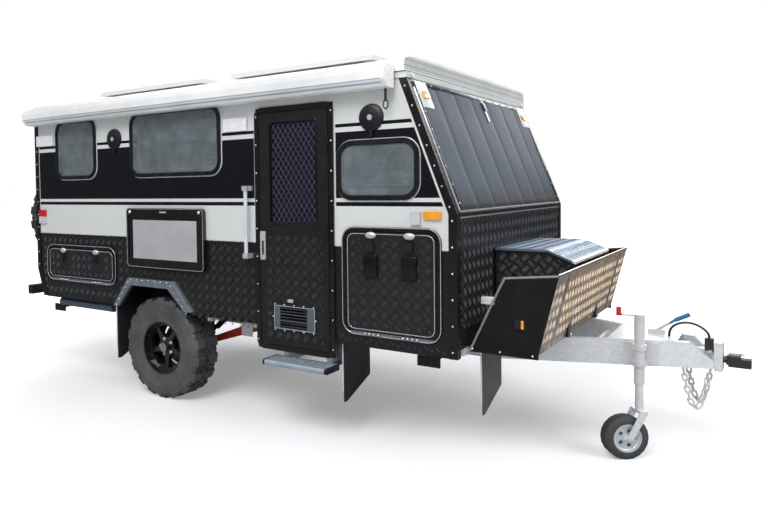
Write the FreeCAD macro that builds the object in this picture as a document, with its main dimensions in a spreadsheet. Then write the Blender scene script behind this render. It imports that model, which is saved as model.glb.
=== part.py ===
"""Off-road caravan with a lifting roof: millimetres, +X to the coupling, +Y to the left, +Z up.

The pieces are drawn with the axle at x 0, the middle plane at y 0 and the ground at z 0.
Each finished piece is then placed so that the origin is the middle of the whole footprint.
"""
import FreeCAD, Part
import math
import os
import Sketcher
from FreeCAD import Rotation, Vector

doc = FreeCAD.newDocument("OffRoadCaravan")
sheet = doc.addObject("Spreadsheet::Sheet", "Sizes")


class Size(float):
    """A length that remembers the sheet expression it is worked out from."""

    def __new__(cls, value, text):
        size = super().__new__(cls, value)
        size.text = text
        return size

    def __neg__(self):
        return Size(-float(self), f"(-{self.text})")


def text_of(value):
    return getattr(value, "text", None) or f"({float(value)!r})"


def with_text(sign, work):
    def forward(one, other):
        return Size(work(float(one), float(other)), f"({text_of(one)} {sign} {text_of(other)})")

    def backward(one, other):
        return Size(work(float(other), float(one)), f"({text_of(other)} {sign} {text_of(one)})")

    return forward, backward


Size.__add__, Size.__radd__ = with_text("+", lambda a, b: a + b)
Size.__sub__, Size.__rsub__ = with_text("-", lambda a, b: a - b)
Size.__mul__, Size.__rmul__ = with_text("*", lambda a, b: a * b)
Size.__truediv__, Size.__rtruediv__ = with_text("/", lambda a, b: a / b)


class Sizes:
    """The driving dimensions, one sheet cell each, read back by name."""

    def __init__(self):
        self.count = 0

    def add(self, values):
        for name, value in values.items():
            self.count += 1
            sheet.set(f"A{self.count}", name)
            sheet.set(f"B{self.count}", str(value))
            sheet.setAlias(f"B{self.count}", name)
            setattr(self, name, Size(value, f"Sizes.{name}"))
        doc.recompute()


s = Sizes()
nodes = {}
SIDES = (-1, 1)
SIDE_NAMES = {-1: "right", 1: "left"}
PLANES = {"x": "YZ_Plane", "y": "XZ_Plane", "z": "XY_Plane"}
QUARTER_SHARE = 0.25


def bind(item, **properties):
    for name, value in properties.items():
        item.setExpression(name.replace("__", "."), text_of(value))
    return item


def move(item, x=0, y=0, z=0):
    return bind(item, Placement__Base__x=x, Placement__Base__y=y, Placement__Base__z=z)


def block(name, x, y, z):
    """A box between low and high values along each axis."""
    box = doc.addObject("Part::Box", name)
    bind(box, Length=x[1] - x[0], Width=y[1] - y[0], Height=z[1] - z[0])
    return move(box, x[0], y[0], z[0])


def rod(name, radius, start, length, along):
    """A cylinder from its start point, along x, y or z."""
    turns = {"x": Rotation(Vector(0, 1, 0), 90), "y": Rotation(Vector(1, 0, 0), -90), "z": Rotation()}
    cylinder = doc.addObject("Part::Cylinder", name)
    cylinder.Placement.Rotation = turns[along]
    bind(cylinder, Radius=radius, Height=length)
    return move(cylinder, *start)


def cut(name, base, *tools):
    for tool in tools:
        result = doc.addObject("Part::Cut", name)
        result.Base, result.Tool = base, tool
        base = result
    return base


def fuse(name, *items):
    if len(items) == 1:
        return items[0]
    result = doc.addObject("Part::MultiFuse", name)
    result.Shapes = list(items)
    return result


def group(name, *items):
    """Like pieces that don't touch, kept as one object."""
    result = doc.addObject("Part::Compound", name)
    result.Links = list(items)
    return result


def mirror(name, item):
    """The same piece on the other side of the middle plane."""
    result = doc.addObject("Part::Mirroring", name)
    result.Source = item
    result.Normal, result.Base = Vector(0, 1, 0), Vector(0, 0, 0)
    return result


def sketch_on(body, axis, at, loops, name="Outline"):
    """A closed sketch of straight runs whose every corner is held by the sheet."""
    sketch = body.newObject("Sketcher::SketchObject", name)
    plane = next(f for f in body.Origin.OriginFeatures if f.Role == PLANES[axis])
    sketch.AttachmentSupport = [(plane, "")]
    sketch.MapMode = "FlatFace"
    sketch.setExpression("AttachmentOffset.Base.z", text_of(-at if axis == "y" else at))
    for loop in loops:
        first = sketch.GeometryCount
        for here, there in zip(loop, loop[1:] + loop[:1]):
            ends = [Vector(float(u), float(v), 0) for u, v in (here, there)]
            sketch.addGeometry(Part.LineSegment(*ends), False)
        for i, (u, v) in enumerate(loop):
            following = first + (i + 1) % len(loop)
            sketch.addConstraint(Sketcher.Constraint("Coincident", first + i, 2, following, 1))
            for kind, value in (("DistanceX", u), ("DistanceY", v)):
                held = sketch.addConstraint(Sketcher.Constraint(kind, -1, 1, first + i, 1, float(value)))
                sketch.setExpression(f"Constraints[{held}]", text_of(value))
    return sketch


def at_corner(edge, axis, corners):
    """True if the edge runs along the axis at one of the outline's corners."""
    ends = [v.Point for v in edge.Vertexes]
    if len(ends) != 2:
        return False
    across = {"x": ("y", "z"), "y": ("x", "z"), "z": ("x", "y")}[axis]
    places = [tuple(getattr(end, way) for way in across) for end in ends]
    same = [abs(a - b) < s.match for a, b in zip(*places)]
    return all(same) and any(math.dist(places[0], c) < s.match for c in corners)


def plate(name, axis, low, high, *loops, rounds=()):
    """A flat piece: its outline and holes lie across the axis, its faces at low and high.

    rounds gives (loop number, radius) or (loop number, radius, corner numbers).
    """
    body = doc.addObject("PartDesign::Body", name)
    loops = [list(loop) for loop in loops]
    sketch = sketch_on(body, axis, high if axis == "y" else low, loops)
    last = body.newObject("PartDesign::Pad", "Plate")
    last.Profile = sketch
    bind(last, Length=high - low)
    doc.recompute()
    for number, radius, *chosen in rounds:
        points = [loops[number][i] for i in chosen[0]] if chosen else loops[number]
        corners = [(float(u), float(v)) for u, v in points]
        names = [f"Edge{i}" for i, e in enumerate(last.Shape.Edges, 1) if at_corner(e, axis, corners)]
        fillet = body.newObject("PartDesign::Fillet", "Corners")
        fillet.Base = (last, names)
        bind(fillet, Radius=radius)
        doc.recompute()
        last = fillet
    return body


def pocket(body, axis, low, high, loop):
    """A cut through a plate's body between two values along the axis."""
    sketch = sketch_on(body, axis, high if axis == "y" else low, [list(loop)], "Opening")
    removed = body.newObject("PartDesign::Pocket", "Opening")
    removed.Profile = sketch
    removed.Reversed = True
    before = body.Shape.Volume
    bind(removed, Length=high - low)
    doc.recompute()
    if body.Shape.Volume > before - s.match:
        raise RuntimeError(f"{body.Name} was not cut")
    return body


def corners(count, radius):
    """The corners of a regular outline about the origin, one of them on the first axis."""
    angles = [2 * math.pi * i / int(count) for i in range(int(count))]
    return [(radius * math.cos(a), radius * math.sin(a)) for a in angles]


def faceted(name, count, *profile, along="y"):
    """A piece with flat sides about its own axis; the profile is (along, radius to a corner)."""
    rings = []
    for place, radius in profile:
        spots = [(float(place), float(u), float(v)) for u, v in corners(count, radius)]
        rings.append([Vector(*{"x": (p, v, u), "y": (u, p, v), "z": (u, v, p)}[along]) for p, u, v in spots])
    flats = [(a[k - 1], a[k], b[k], b[k - 1]) for a, b in zip(rings, rings[1:]) for k in range(int(count))]
    faces = [Part.Face(Part.makePolygon([*flat, flat[0]])) for flat in [*flats, rings[0], rings[-1]]]
    shell = Part.makeShell(faces)
    shell.sewShape()
    return made(name, Part.Solid(shell))


def about_axis(name, item, count):
    """Copies of a piece turned in equal steps about the y axis."""
    copies = []
    for i in range(int(count)):
        held = group(name, item)
        held.Placement.Rotation = Rotation(Vector(0, 1, 0), 360 * i / int(count))
        copies.append(held)
    return copies


def made(name, shape):
    """A piece whose shape is worked out in code."""
    item = doc.addObject("Part::Feature", name)
    item.Shape = shape
    return item


def pipe(name, sides, radius, points):
    """A bar with flat sides along straight runs, mitred where they meet."""
    points = [Vector(*[float(v) for v in point]) for point in points]
    turn = Rotation(Vector(0, 0, 1), points[1] - points[0])
    section = [points[0] + turn.multVec(Vector(float(u), float(v), 0)) for u, v in corners(sides, radius)]
    ring = Part.makePolygon(section + section[:1])
    return made(name, Part.makePolygon(points).makePipeShell([ring], True, False, 1))


def oblong(x, z):
    return [(x[0], z[0]), (x[1], z[0]), (x[1], z[1]), (x[0], z[1])]


def grown(span, by):
    return (span[0] - by, span[1] + by)


def node(name, *items):
    """The finished piece, placed in the frame whose origin is the middle of the footprint."""
    item = group(name, *items)
    item.Label = name
    nodes[name] = move(item, frame_x, frame_y)


# The whole vehicle
VEHICLE = {
    "match": 0.01, "overrun": 5, "gap": 3, "seat": 0.3, "body_rear": -1520, "body_front": 2440,
    "half_width": 1100, "wall": 30, "wall_top": 2275, "sill": 720, "coupling_height": 585,
}
s.add(VEHICLE)
inner_y = s.half_width - s.wall

# Tyres: the road wheels and the two spares are the same
TYRE = {
    "tyre_radius": 395, "tyre_width": 262, "spare_standoff": 38,
}
s.add(TYRE)

# Chassis: two long hollow rails, with cross members between them and outriggers to the walls
CHASSIS = {
    "rail_bottom": 540, "rail_depth": 150, "rail_thick": 50, "rail_outer": 530, "rail_skin": 5,
    "rail_rear_in": 120, "cross_wide": 60, "cross_depth": 90, "rigger_wide": 40, "rigger_depth": 45,
    "floor_thick": 30, "rigger_rear_in": 114, "rigger_arch_back": 130, "rigger_arch_ahead": 121,
    "rigger_door_back": 125, "rigger_door_ahead": 81,
}
s.add(CHASSIS)
rail_rear = s.body_rear + s.rail_rear_in
rail_top = s.rail_bottom + s.rail_depth
rail_inner = s.rail_outer - s.rail_thick
# The outriggers stop short of the hose tube that runs along the sill
HOSE = {
    "hose_radius": 34, "hose_in": 64,
}
s.add(HOSE)
hose_side = s.half_width - s.hose_in
rigger_reach = hose_side - s.hose_radius - s.gap
CROSS_SHARES = (0, 0.19, 0.42, 0.56, 0.78, 1)


def cross_start(number):
    """Rear face of a cross member, counted from the rear."""
    return rail_rear + (s.body_front - rail_rear - s.cross_wide) * CROSS_SHARES[number]


def hollow_rail(name, x, y, z):
    solid = block(name, x, y, z)
    void = block(name + "Inside", grown(x, s.overrun), grown(y, -s.rail_skin), grown(z, -s.rail_skin))
    return cut(name, solid, void)


def chassis():
    x = (rail_rear, s.body_front)
    right = hollow_rail("LongRail", x, (-s.rail_outer, -rail_inner), (s.rail_bottom, rail_top))
    rail = fuse("Rail", right, drawbar_rail())
    node("chassis_rails", rail, mirror("RailLeft", rail))
    bars = []
    for number in range(len(CROSS_SHARES)):
        start = cross_start(number)
        z = (rail_top - s.cross_depth, rail_top)
        bars.append(block("CrossMember", (start, start + s.cross_wide), (-rail_inner, rail_inner), z))
    for start in (rail_rear + s.rigger_rear_in, s.arch_rear - s.rigger_arch_back,
                  s.arch_front + s.rigger_arch_ahead, door_rear - s.rigger_door_back,
                  door_front + s.rigger_door_ahead, s.body_front - s.rigger_wide):
        x = (start, start + s.rigger_wide)
        right = block("Outrigger", x, (-rigger_reach, -s.rail_outer), (rail_top - s.rigger_depth, rail_top))
        bars += [right, mirror("OutriggerLeft", right)]
    return bars


# Drawbar: two rails that run together at the coupling, their tops cut down to the nose
DRAWBAR = {
    "drawbar_long": 1160, "tip_half": 92, "nose_cut_long": 120, "nose_top": 570, "tie_ahead": 520,
    "tie_radius": 24, "top_plate_thick": 6, "top_plate_rear_back": 540, "top_plate_front_back": 180,
}
s.add(DRAWBAR)
tip_x = s.body_front + s.drawbar_long
nose_cut_start = tip_x - s.nose_cut_long
tie_x = s.body_front + s.tie_ahead
top_plate_rear = tip_x - s.top_plate_rear_back
top_plate_front = tip_x - s.top_plate_front_back
lean = math.atan2(float(s.rail_outer - s.tip_half), float(tip_x - s.body_front))
across = s.rail_thick / math.cos(lean)


def drawbar_y(x):
    """Outer face of a drawbar rail, as a distance from the middle plane."""
    return s.rail_outer - (x - s.body_front) * (s.rail_outer - s.tip_half) / (tip_x - s.body_front)


def drawbar_rail():
    outline = [
        (s.body_front, -s.rail_outer), (tip_x, -s.tip_half),
        (tip_x, across - s.tip_half), (s.body_front, across - s.rail_outer),
    ]
    rail = plate("DrawbarRail", "z", s.rail_bottom, rail_top, outline)
    nose = [
        (nose_cut_start, rail_top), (tip_x + s.overrun, s.nose_top),
        (tip_x + s.overrun, rail_top + s.overrun), (nose_cut_start, rail_top + s.overrun),
    ]
    return pocket(rail, "y", -s.rail_outer, s.rail_outer, nose)


def drawbar_ties():
    rear, front = top_plate_rear, top_plate_front
    top = plate("NosePlate", "z", rail_top, rail_top + s.top_plate_thick, [
        (rear, -drawbar_y(rear)), (front, -drawbar_y(front)),
        (front, drawbar_y(front)), (rear, drawbar_y(rear))])
    tie_half = drawbar_y(tie_x) - across - s.tie_radius * math.tan(lean)
    height = (s.rail_bottom + rail_top) / 2
    tie = rod("Tie", s.tie_radius, (tie_x, -tie_half, height), 2 * tie_half, "y")
    return [top, tie]


# Wheel wells and the floor that they interrupt
WELLS = {
    "well_rear_room": 45, "well_front": 350, "well_deep": 345, "well_top": 930, "well_skin": 20,
}
s.add(WELLS)
well_rear = -(s.tyre_radius + s.well_rear_room)
well_inner = s.half_width - s.well_deep


def floor_and_wells():
    y_in, y_out = well_inner - s.well_skin, inner_y
    x = (well_rear, s.well_front)
    rear, front = rear_foot_x, s.body_front - s.wall
    outline = [(rear, -inner_y)]
    outline += [(x[0], -inner_y), (x[0], -y_in), (x[1], -y_in), (x[1], -inner_y)]
    outline += [(front, -inner_y), (front, inner_y)]
    outline += [(x[1], inner_y), (x[1], y_in), (x[0], y_in), (x[0], inner_y), (rear, inner_y)]
    floor = plate("CabinFloor", "z", rail_top, rail_top + s.floor_thick, outline)
    outer = block("WellOutside", x, (-y_out, -y_in), (rail_top, s.well_top + s.well_skin))
    inside = block("WellInside", grown(x, -s.well_skin), (-y_out - s.overrun, -well_inner),
                   (rail_top - s.overrun, s.well_top))
    well = cut("WheelWell", outer, inside)
    node("cabin_floor", fuse("FloorWithWells", floor, well, mirror("WheelWellLeft", well)))


# Walls: one sandwich panel a side, cut for the wheel, the windows, the door and the hatches
WALLS = {
    "rear_knee_z": 940, "rear_foot_in": 82, "rear_sill": 700, "front_sill": 645,
    "slope_tall": 800, "slope_run": 305, "arch_rear": -415, "arch_rear_top": -262, "arch_front_top": 150,
    "arch_front": 322, "arch_top": 880, "door_rear_back": 1435, "door_wide": 630, "door_low": 540,
    "door_top_down": 95, "door_frame_wide": 35, "hatch_round": 60, "window_round": 75,
    "small_window_in": 340, "small_window_wide": 480, "large_window_wide": 890, "large_window_back": 337,
    "side_window_tall": 447, "side_window_down": 63, "nose_window_ahead": 57, "nose_window_wide": 498,
    "nose_window_up": 110, "nose_window_tall": 307, "rear_hatch_in": 170, "rear_hatch_back": 65,
    "rear_hatch_up": 180, "rear_hatch_tall": 265, "front_hatch_ahead": 81, "front_hatch_in": 114,
    "front_hatch_up": 100, "front_hatch_down": 110,
}
s.add(WALLS)
slope_top_x = s.body_front - s.slope_run
rear_foot_x = s.body_rear + s.rear_foot_in
bend_z = s.wall_top - s.slope_tall
door_top = s.wall_top - s.door_top_down
side_window_top = s.wall_top - s.side_window_down
small_window_rear = s.body_rear + s.small_window_in
small_window_front = small_window_rear + s.small_window_wide
nose_window_low = bend_z + s.nose_window_up
rear_hatch_start = s.body_rear + s.rear_hatch_in
rear_hatch_end = s.arch_rear - s.rear_hatch_back
rear_hatch_low = s.rear_sill + s.rear_hatch_up
rear_hatch_top = rear_hatch_low + s.rear_hatch_tall
front_hatch_end = s.body_front - s.front_hatch_in
front_hatch_low = s.front_sill + s.front_hatch_up
front_hatch_top = bend_z - s.front_hatch_down
door_rear = s.body_front - s.door_rear_back
door_front = door_rear + s.door_wide
side_window_low = side_window_top - s.side_window_tall
large_window_front = door_rear - s.large_window_back
large_window_rear = large_window_front - s.large_window_wide
nose_window_rear = door_front + s.nose_window_ahead
nose_window_front = nose_window_rear + s.nose_window_wide
nose_window_top = nose_window_low + s.nose_window_tall
front_hatch_start = door_front + s.front_hatch_ahead
SMALL_WINDOW = (small_window_rear, small_window_front), (side_window_low, side_window_top)
LARGE_WINDOW = (large_window_rear, large_window_front), (side_window_low, side_window_top)
NOSE_WINDOW = (nose_window_rear, nose_window_front), (nose_window_low, nose_window_top)
REAR_HATCH = (rear_hatch_start, rear_hatch_end), (rear_hatch_low, rear_hatch_top)
FRONT_HATCH = (front_hatch_start, front_hatch_end), (front_hatch_low, front_hatch_top)
WINDOWS = {"small": SMALL_WINDOW, "large": LARGE_WINDOW, "nose": NOSE_WINDOW}
HATCHES = {"rear": REAR_HATCH, "front": FRONT_HATCH}


def side_outline(door):
    """The side wall seen from the right, with the entrance notched out where there is one."""
    notch_rear, notch_front = door_rear + s.gap, door_front - s.gap
    notch_top = door_top - s.gap
    before = [
        (s.body_rear, s.rear_knee_z), (rear_foot_x, s.rear_sill),
        (s.arch_rear, s.rear_sill), (s.arch_rear_top, s.arch_top),
        (s.arch_front_top, s.arch_top), (s.arch_front, s.sill),
    ]
    middle = [(notch_front, s.sill), (notch_front, s.front_sill)]
    if door:
        middle = [(notch_rear, s.sill), (notch_rear, notch_top), (notch_front, notch_top)] + middle[1:]
    after = [
        (s.body_front, s.front_sill), (s.body_front, bend_z),
        (slope_top_x, s.wall_top), (s.body_rear, s.wall_top),
    ]
    return before + middle + after


def walls():
    holes = [oblong(*w) for w in WINDOWS.values()] + [oblong(*h) for h in HATCHES.values()]
    rounds = [(1, s.window_round), (2, s.window_round), (3, s.window_round),
              (4, s.hatch_round), (5, s.hatch_round)]
    right = plate("RightWall", "y", -s.half_width, -inner_y, side_outline(True), *holes, rounds=rounds)
    left = plate("LeftWall", "y", inner_y, s.half_width, side_outline(False), *holes, rounds=rounds)
    node("right_wall", right)
    node("left_wall", left)
    knee_in = s.body_rear + s.wall
    node("rear_wall", plate("RearWall", "y", -inner_y, inner_y, [
        (s.body_rear, s.wall_top), (s.body_rear, s.rear_knee_z), (rear_foot_x, s.rear_sill),
        (rear_foot_x, rail_top + s.floor_thick), (knee_in, s.rear_knee_z), (knee_in, s.wall_top)]))
    skin_in = s.body_front - s.wall
    node("front_wall", plate("FrontWall", "y", -inner_y, inner_y, [
        (skin_in, rail_top), (s.body_front, rail_top), (s.body_front, bend_z),
        (slope_top_x, s.wall_top), (slope_top_x - s.wall, s.wall_top), (skin_in, bend_z)]))


# Edge trims: black angle along the body's corners, proud of the walls by its own thickness
TRIMS = {
    "trim_wide": 46, "trim_thick": 5,
}
s.add(TRIMS)


def trims():
    def strip(name, points, back):
        """A band that follows the corner on the side wall, and its leg on the end wall."""
        outer = list(points)
        inner = [(x + back[0], z) for x, z in reversed(points)]
        return plate(name, "y", -s.half_width - s.trim_thick, -s.half_width, outer + inner)

    front_line = [(s.body_front, s.front_sill), (s.body_front, bend_z), (slope_top_x, s.wall_top)]
    rear_line = [(s.body_rear, s.wall_top), (s.body_rear, s.rear_knee_z), (rear_foot_x, s.rear_sill)]
    pieces = []
    for name, line, way in (("FrontTrim", front_line, 1), ("RearTrim", rear_line, -1)):
        face = strip(name, line, (-way * s.trim_wide, 0))
        outer = [(x + way * s.trim_thick, z) for x, z in line]
        leg = plate(name + "Leg", "y", -s.half_width - s.trim_thick, -s.half_width + s.trim_wide,
                    list(line) + list(reversed(outer)))
        angle = fuse(name + "Angle", face, leg)
        pieces += [angle, mirror(name + "Left", angle)]
    return pieces


# Windows: a black moulded frame round each opening, and a tinted pane seated in it
WINDOW_PARTS = {
    "frame_wide": 30, "frame_proud": 16, "pane_thick": 6, "pane_out": 8, "pane_fit": 1,
}
s.add(WINDOW_PARTS)


def windows():
    frames, panes = [], []
    for name, (x, z) in WINDOWS.items():
        ring = plate(name.title() + "Frame", "y", -s.half_width - s.frame_proud, -s.half_width,
                     oblong(grown(x, s.frame_wide), grown(z, s.frame_wide)), oblong(x, z),
                     rounds=[(0, s.window_round + s.frame_wide), (1, s.window_round)])
        face = -s.half_width - s.pane_out
        pane = plate(name.title() + "Pane", "y", face, face + s.pane_thick,
                     oblong(grown(x, -s.seat), grown(z, -s.seat)), rounds=[(0, s.window_round)])
        frames.append(ring)
        panes.append(pane)
    node("window_frames", *frames, *[mirror("FrameLeft", f) for f in frames])
    node("window_panes", *panes, *[mirror("PaneLeft", p) for p in panes])


# Entrance door: an aluminium frame let into the wall, and a leaf with a security screen above
DOOR = {
    "door_frame_proud": 12, "door_round": 60, "leaf_thick": 32, "leaf_gap": 5, "screen_in_rear": 125,
    "screen_in_front": 123, "screen_low": 1390, "screen_down": 100, "screen_round": 30,
    "grille_in_rear": 160, "grille_in_front": 160, "grille_up": 160, "grille_tall": 140, "grille_bar": 6,
    "grille_count": 7, "mesh_bar": 5, "mesh_thick": 3, "mesh_rim": 12, "mesh_wide": 41, "mesh_tall": 62,
    "glass_thick": 5, "lock_in": 66, "lock_up": 610, "lock_tall": 195, "lock_half": 22, "lock_proud": 7,
    "slot_half": 9, "slot_tall": 96, "slot_down": 34, "lock_round": 10, "hinge_radius": 7,
    "hinge_length": 90, "hinge_skin": 3, "hinge_flap": 24,
}
s.add(DOOR)
lock_x = door_rear + s.lock_in
lock_low = s.door_low + s.lock_up
screen_rear = door_rear + s.screen_in_rear
screen_front = door_front - s.screen_in_front
screen_top = door_top - s.screen_down
grille_rear = door_rear + s.grille_in_rear
grille_front = door_front - s.grille_in_front
grille_low = s.door_low + s.grille_up
grille_top = grille_low + s.grille_tall
leaf_x = (door_rear + s.door_frame_wide + s.leaf_gap, door_front - s.door_frame_wide - s.leaf_gap)
leaf_z = (s.door_low + s.door_frame_wide + s.leaf_gap, door_top - s.door_frame_wide - s.leaf_gap)
leaf_y = (-s.half_width - s.door_frame_proud, -s.half_width - s.door_frame_proud + s.leaf_thick)
HINGE_SHARES = (0.12, 0.5, 0.88)


def screen_mesh(x, y, z):
    """A pressed screen: rows of upright diamonds, each row shifted by half a diamond, inside a rim."""
    x0, x1, z0, z1 = [float(v) for v in (*grown(x, -s.mesh_rim), *grown(z, -s.mesh_rim))]
    wide, tall, bar = float(s.mesh_wide), float(s.mesh_tall), float(s.mesh_bar)
    low, deep = float(y[0]), Vector(0, float(y[1] - y[0]), 0)
    slant = math.hypot(wide, tall)
    half_x, half_z = (wide - bar * slant / tall) / 2, (tall - bar * slant / wide) / 2
    columns, rows = math.ceil((x1 - x0) / wide), math.ceil((z1 - z0) / tall)
    first_x, first_z = (x0 + x1 - columns * wide) / 2, (z0 + z1 - rows * tall) / 2
    holes = []
    for row in range(2 * rows + 1):
        for column in range(columns + row % 2):
            cx = first_x + wide * (column + (1 - row % 2) / 2)
            cz = first_z + tall * row / 2
            ring = [(cx - half_x, cz), (cx, cz - half_z), (cx + half_x, cz), (cx, cz + half_z)]
            points = [Vector(a, low, b) for a, b in ring + ring[:1]]
            holes.append(Part.Face(Part.makePolygon(points)).extrude(deep))
    inside = Part.makeBox(x1 - x0, deep.y, z1 - z0, Vector(x0, low, z0))
    outside = Part.makeBox(float(x[1] - x[0]), deep.y, float(z[1] - z[0]),
                           Vector(float(x[0]), low, float(z[0])))
    return outside.cut(Part.makeCompound(holes).common(inside))


def entrance():
    x, z = (door_rear, door_front), (s.door_low, door_top)
    inner = [oblong(grown(x, -s.door_frame_wide), grown(z, -s.door_frame_wide))]
    outside = plate("DoorFlange", "y", -s.half_width - s.door_frame_proud, -s.half_width,
                    oblong(x, z), *inner,
                    rounds=[(0, s.door_round), (1, s.door_round - s.door_frame_wide)])
    sleeve_x, sleeve_z = grown(x, -s.gap - s.seat), grown(z, -s.gap - s.seat)
    sleeve = plate("DoorSleeve", "y", -s.half_width, -inner_y, oblong(sleeve_x, sleeve_z), *inner)
    screen = oblong((screen_rear, screen_front), (s.screen_low, screen_top))
    grille = oblong((grille_rear, grille_front), (grille_low, grille_top))
    leaf = plate("DoorLeaf", "y", *leaf_y, oblong(leaf_x, leaf_z), screen, grille,
                 rounds=[(0, s.door_round - s.door_frame_wide - s.leaf_gap), (1, s.screen_round)])
    mid = (leaf_y[0] + leaf_y[1]) / 2
    glass = plate("DoorGlass", "y", mid, mid + s.glass_thick, oblong(
        (screen_rear + s.seat, screen_front - s.seat), (s.screen_low + s.seat, screen_top - s.seat)),
        rounds=[(0, s.screen_round)])
    mesh_x = grown((screen_rear, screen_front), -s.mesh_rim)
    mesh_z = grown((s.screen_low, screen_top), -s.mesh_rim)
    mesh = made("DoorMesh", screen_mesh(mesh_x, (mid - s.mesh_thick, mid), mesh_z))
    node("door_screen", fuse("DoorScreen", glass, mesh))
    spacing = (grille_top - grille_low) / s.grille_count
    bars = []
    for i in range(int(s.grille_count)):
        low = grille_low + spacing * (i + 0.5) - s.grille_bar / 2
        bars.append(block("Louvre", (grille_rear, grille_front), (leaf_y[0] + s.gap, mid),
                          (low, low + s.grille_bar)))
    lock = plate("LockPlate", "y", leaf_y[0] - s.lock_proud, leaf_y[0],
                 oblong((lock_x - s.lock_half, lock_x + s.lock_half), (lock_low, lock_low + s.lock_tall)),
                 oblong((lock_x - s.slot_half, lock_x + s.slot_half),
                        (lock_low + s.slot_down, lock_low + s.slot_down + s.slot_tall)),
                 rounds=[(0, s.lock_round)])
    node("door_leaf", fuse("DoorWithLouvres", leaf, lock, *bars))
    pins = []
    face = -s.half_width - s.door_frame_proud
    frame_edge = leaf_x[1] + s.leaf_gap
    for share in HINGE_SHARES:
        low = leaf_z[0] + (leaf_z[1] - leaf_z[0] - s.hinge_length) * share
        pin = (leaf_x[1] + s.leaf_gap / 2, face - s.hinge_radius - s.seat, low)
        pins.append(rod("DoorHinge", s.hinge_radius, pin, s.hinge_length, "z"))
        pins.append(block("HingeFlap", (frame_edge, frame_edge + s.hinge_flap), (face - s.hinge_skin, face),
                          (low, low + s.hinge_length)))
    node("door_frame", fuse("DoorFrame", outside, sleeve, *pins))


# Hatches: a framed opening low in each wall front and rear, its leaf hinged along the bottom
HATCH_PARTS = {
    "hatch_rim": 26, "hatch_rim_proud": 10, "hatch_thick": 32, "hatch_gap": 5, "catch_wide": 46,
    "catch_tall": 58, "catch_proud": 22, "catch_down": 62, "lock_radius": 19, "lock_corners": 16,
    "lock_dome": 8, "lock_cap": 12, "stalk_wide": 14, "strip_long": 120, "strip_down": 6, "strip_tall": 16,
    "strip_proud": 4,
}
s.add(HATCH_PARTS)
CATCH_SHARES = {"rear": (0.25, 0.75), "front": (0.3, 0.72)}


def hatches():
    rims = []
    for name, (x, z) in HATCHES.items():
        title = name.title()
        rim = plate(title + "HatchRim", "y", -s.half_width - s.hatch_rim_proud, -s.half_width,
                    oblong(grown(x, s.hatch_rim), grown(z, s.hatch_rim)), oblong(x, z),
                    rounds=[(0, s.hatch_round + s.hatch_rim), (1, s.hatch_round)])
        face = -s.half_width - s.hatch_rim_proud
        leaf = plate(title + "HatchLeaf", "y", face, face + s.hatch_thick,
                     oblong(grown(x, -s.hatch_gap), (z[0] + s.seat, z[1] - s.hatch_gap)),
                     rounds=[(0, s.hatch_round - s.hatch_gap)])
        catches, strips = [], []
        for share in CATCH_SHARES[name]:
            middle = x[0] + (x[1] - x[0]) * share
            top = z[1] - s.catch_down
            wide = s.catch_wide if name == "front" else s.stalk_wide
            catches.append(block(title + "Catch", (middle - wide / 2, middle + wide / 2),
                                 (face - s.catch_proud, face), (top - s.catch_tall, top)))
            catches.append(block(title + "Stalk", (middle - s.stalk_wide / 2, middle + s.stalk_wide / 2),
                                 (face - s.lock_dome, face), (top, z[1] - s.lock_radius - s.hatch_gap)))
            dome = faceted(title + "Lock", s.lock_corners, (-s.lock_dome - s.lock_cap, s.lock_radius / 2),
                           (-s.lock_dome, s.lock_radius), (0, s.lock_radius))
            catches.append(placed(title + "LockAt", dome, middle, face,
                                  z[1] - s.lock_radius - s.hatch_gap - s.seat))
            low = z[0] - s.strip_down
            strips.append(block(title + "Hinge", (middle - s.strip_long / 2, middle + s.strip_long / 2),
                                (face - s.strip_proud, face), (low - s.strip_tall, low)))
        hinged = fuse(title + "HingedRim", rim, *strips)
        rims += [hinged, mirror(title + "HatchRimLeft", hinged)]
        right = fuse(title + "Hatch", leaf, *catches)
        node(f"{name}_hatch_right", right)
        node(f"{name}_hatch_left", mirror(title + "HatchLeft", right))
    return rims


# Fold-down table on the right wall, over the wheel
TABLE = {
    "table_rear": -287, "table_wide": 825, "table_tall": 464, "table_top": 1494, "table_back": 6,
    "table_thick": 28, "table_round": 30, "table_edge": 26, "table_sunk": 5, "knob_in": 42,
    "knob_down": 30, "knob_size": 11, "knob_proud": 10, "knob_corners": 16,
}
s.add(TABLE)
table_front = s.table_rear + s.table_wide
table_low = s.table_top - s.table_tall


def table():
    x, z = (s.table_rear, table_front), (table_low, s.table_top)
    back = plate("TableBack", "y", -s.half_width - s.table_back, -s.half_width,
                 oblong(grown(x, -s.gap), grown(z, -s.gap)), rounds=[(0, s.table_round)])
    face = -s.half_width - s.table_back - s.seat
    out = face - s.table_thick
    leaf = plate("TableLeaf", "y", out, face, oblong(x, z), rounds=[(0, s.table_round)])
    inner_z = (table_low + s.table_edge, s.table_top - s.table_edge - s.knob_down)
    sunk = plate("TableSunk", "y", out - s.overrun, out + s.table_sunk,
                 oblong(grown(x, -s.table_edge), inner_z), rounds=[(0, s.table_round / 2)])
    knob = faceted("TableKnob", s.knob_corners, (out - s.knob_proud, s.knob_size / 2),
                   (out - s.knob_proud / 2, s.knob_size), (out, s.knob_size))
    knobs = [placed("KnobAt", knob, place, 0, s.table_top - s.knob_down)
             for place in (x[0] + s.knob_in, x[1] - s.knob_in)]
    node("table_leaf", fuse("TableWithKnobs", cut("TableTop", leaf, sunk), *knobs))
    return back


# Arch flares: a folded strip round each wheel opening
FLARES = {
    "flare_wide": 58, "flare_proud": 28,
}
s.add(FLARES)


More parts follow.
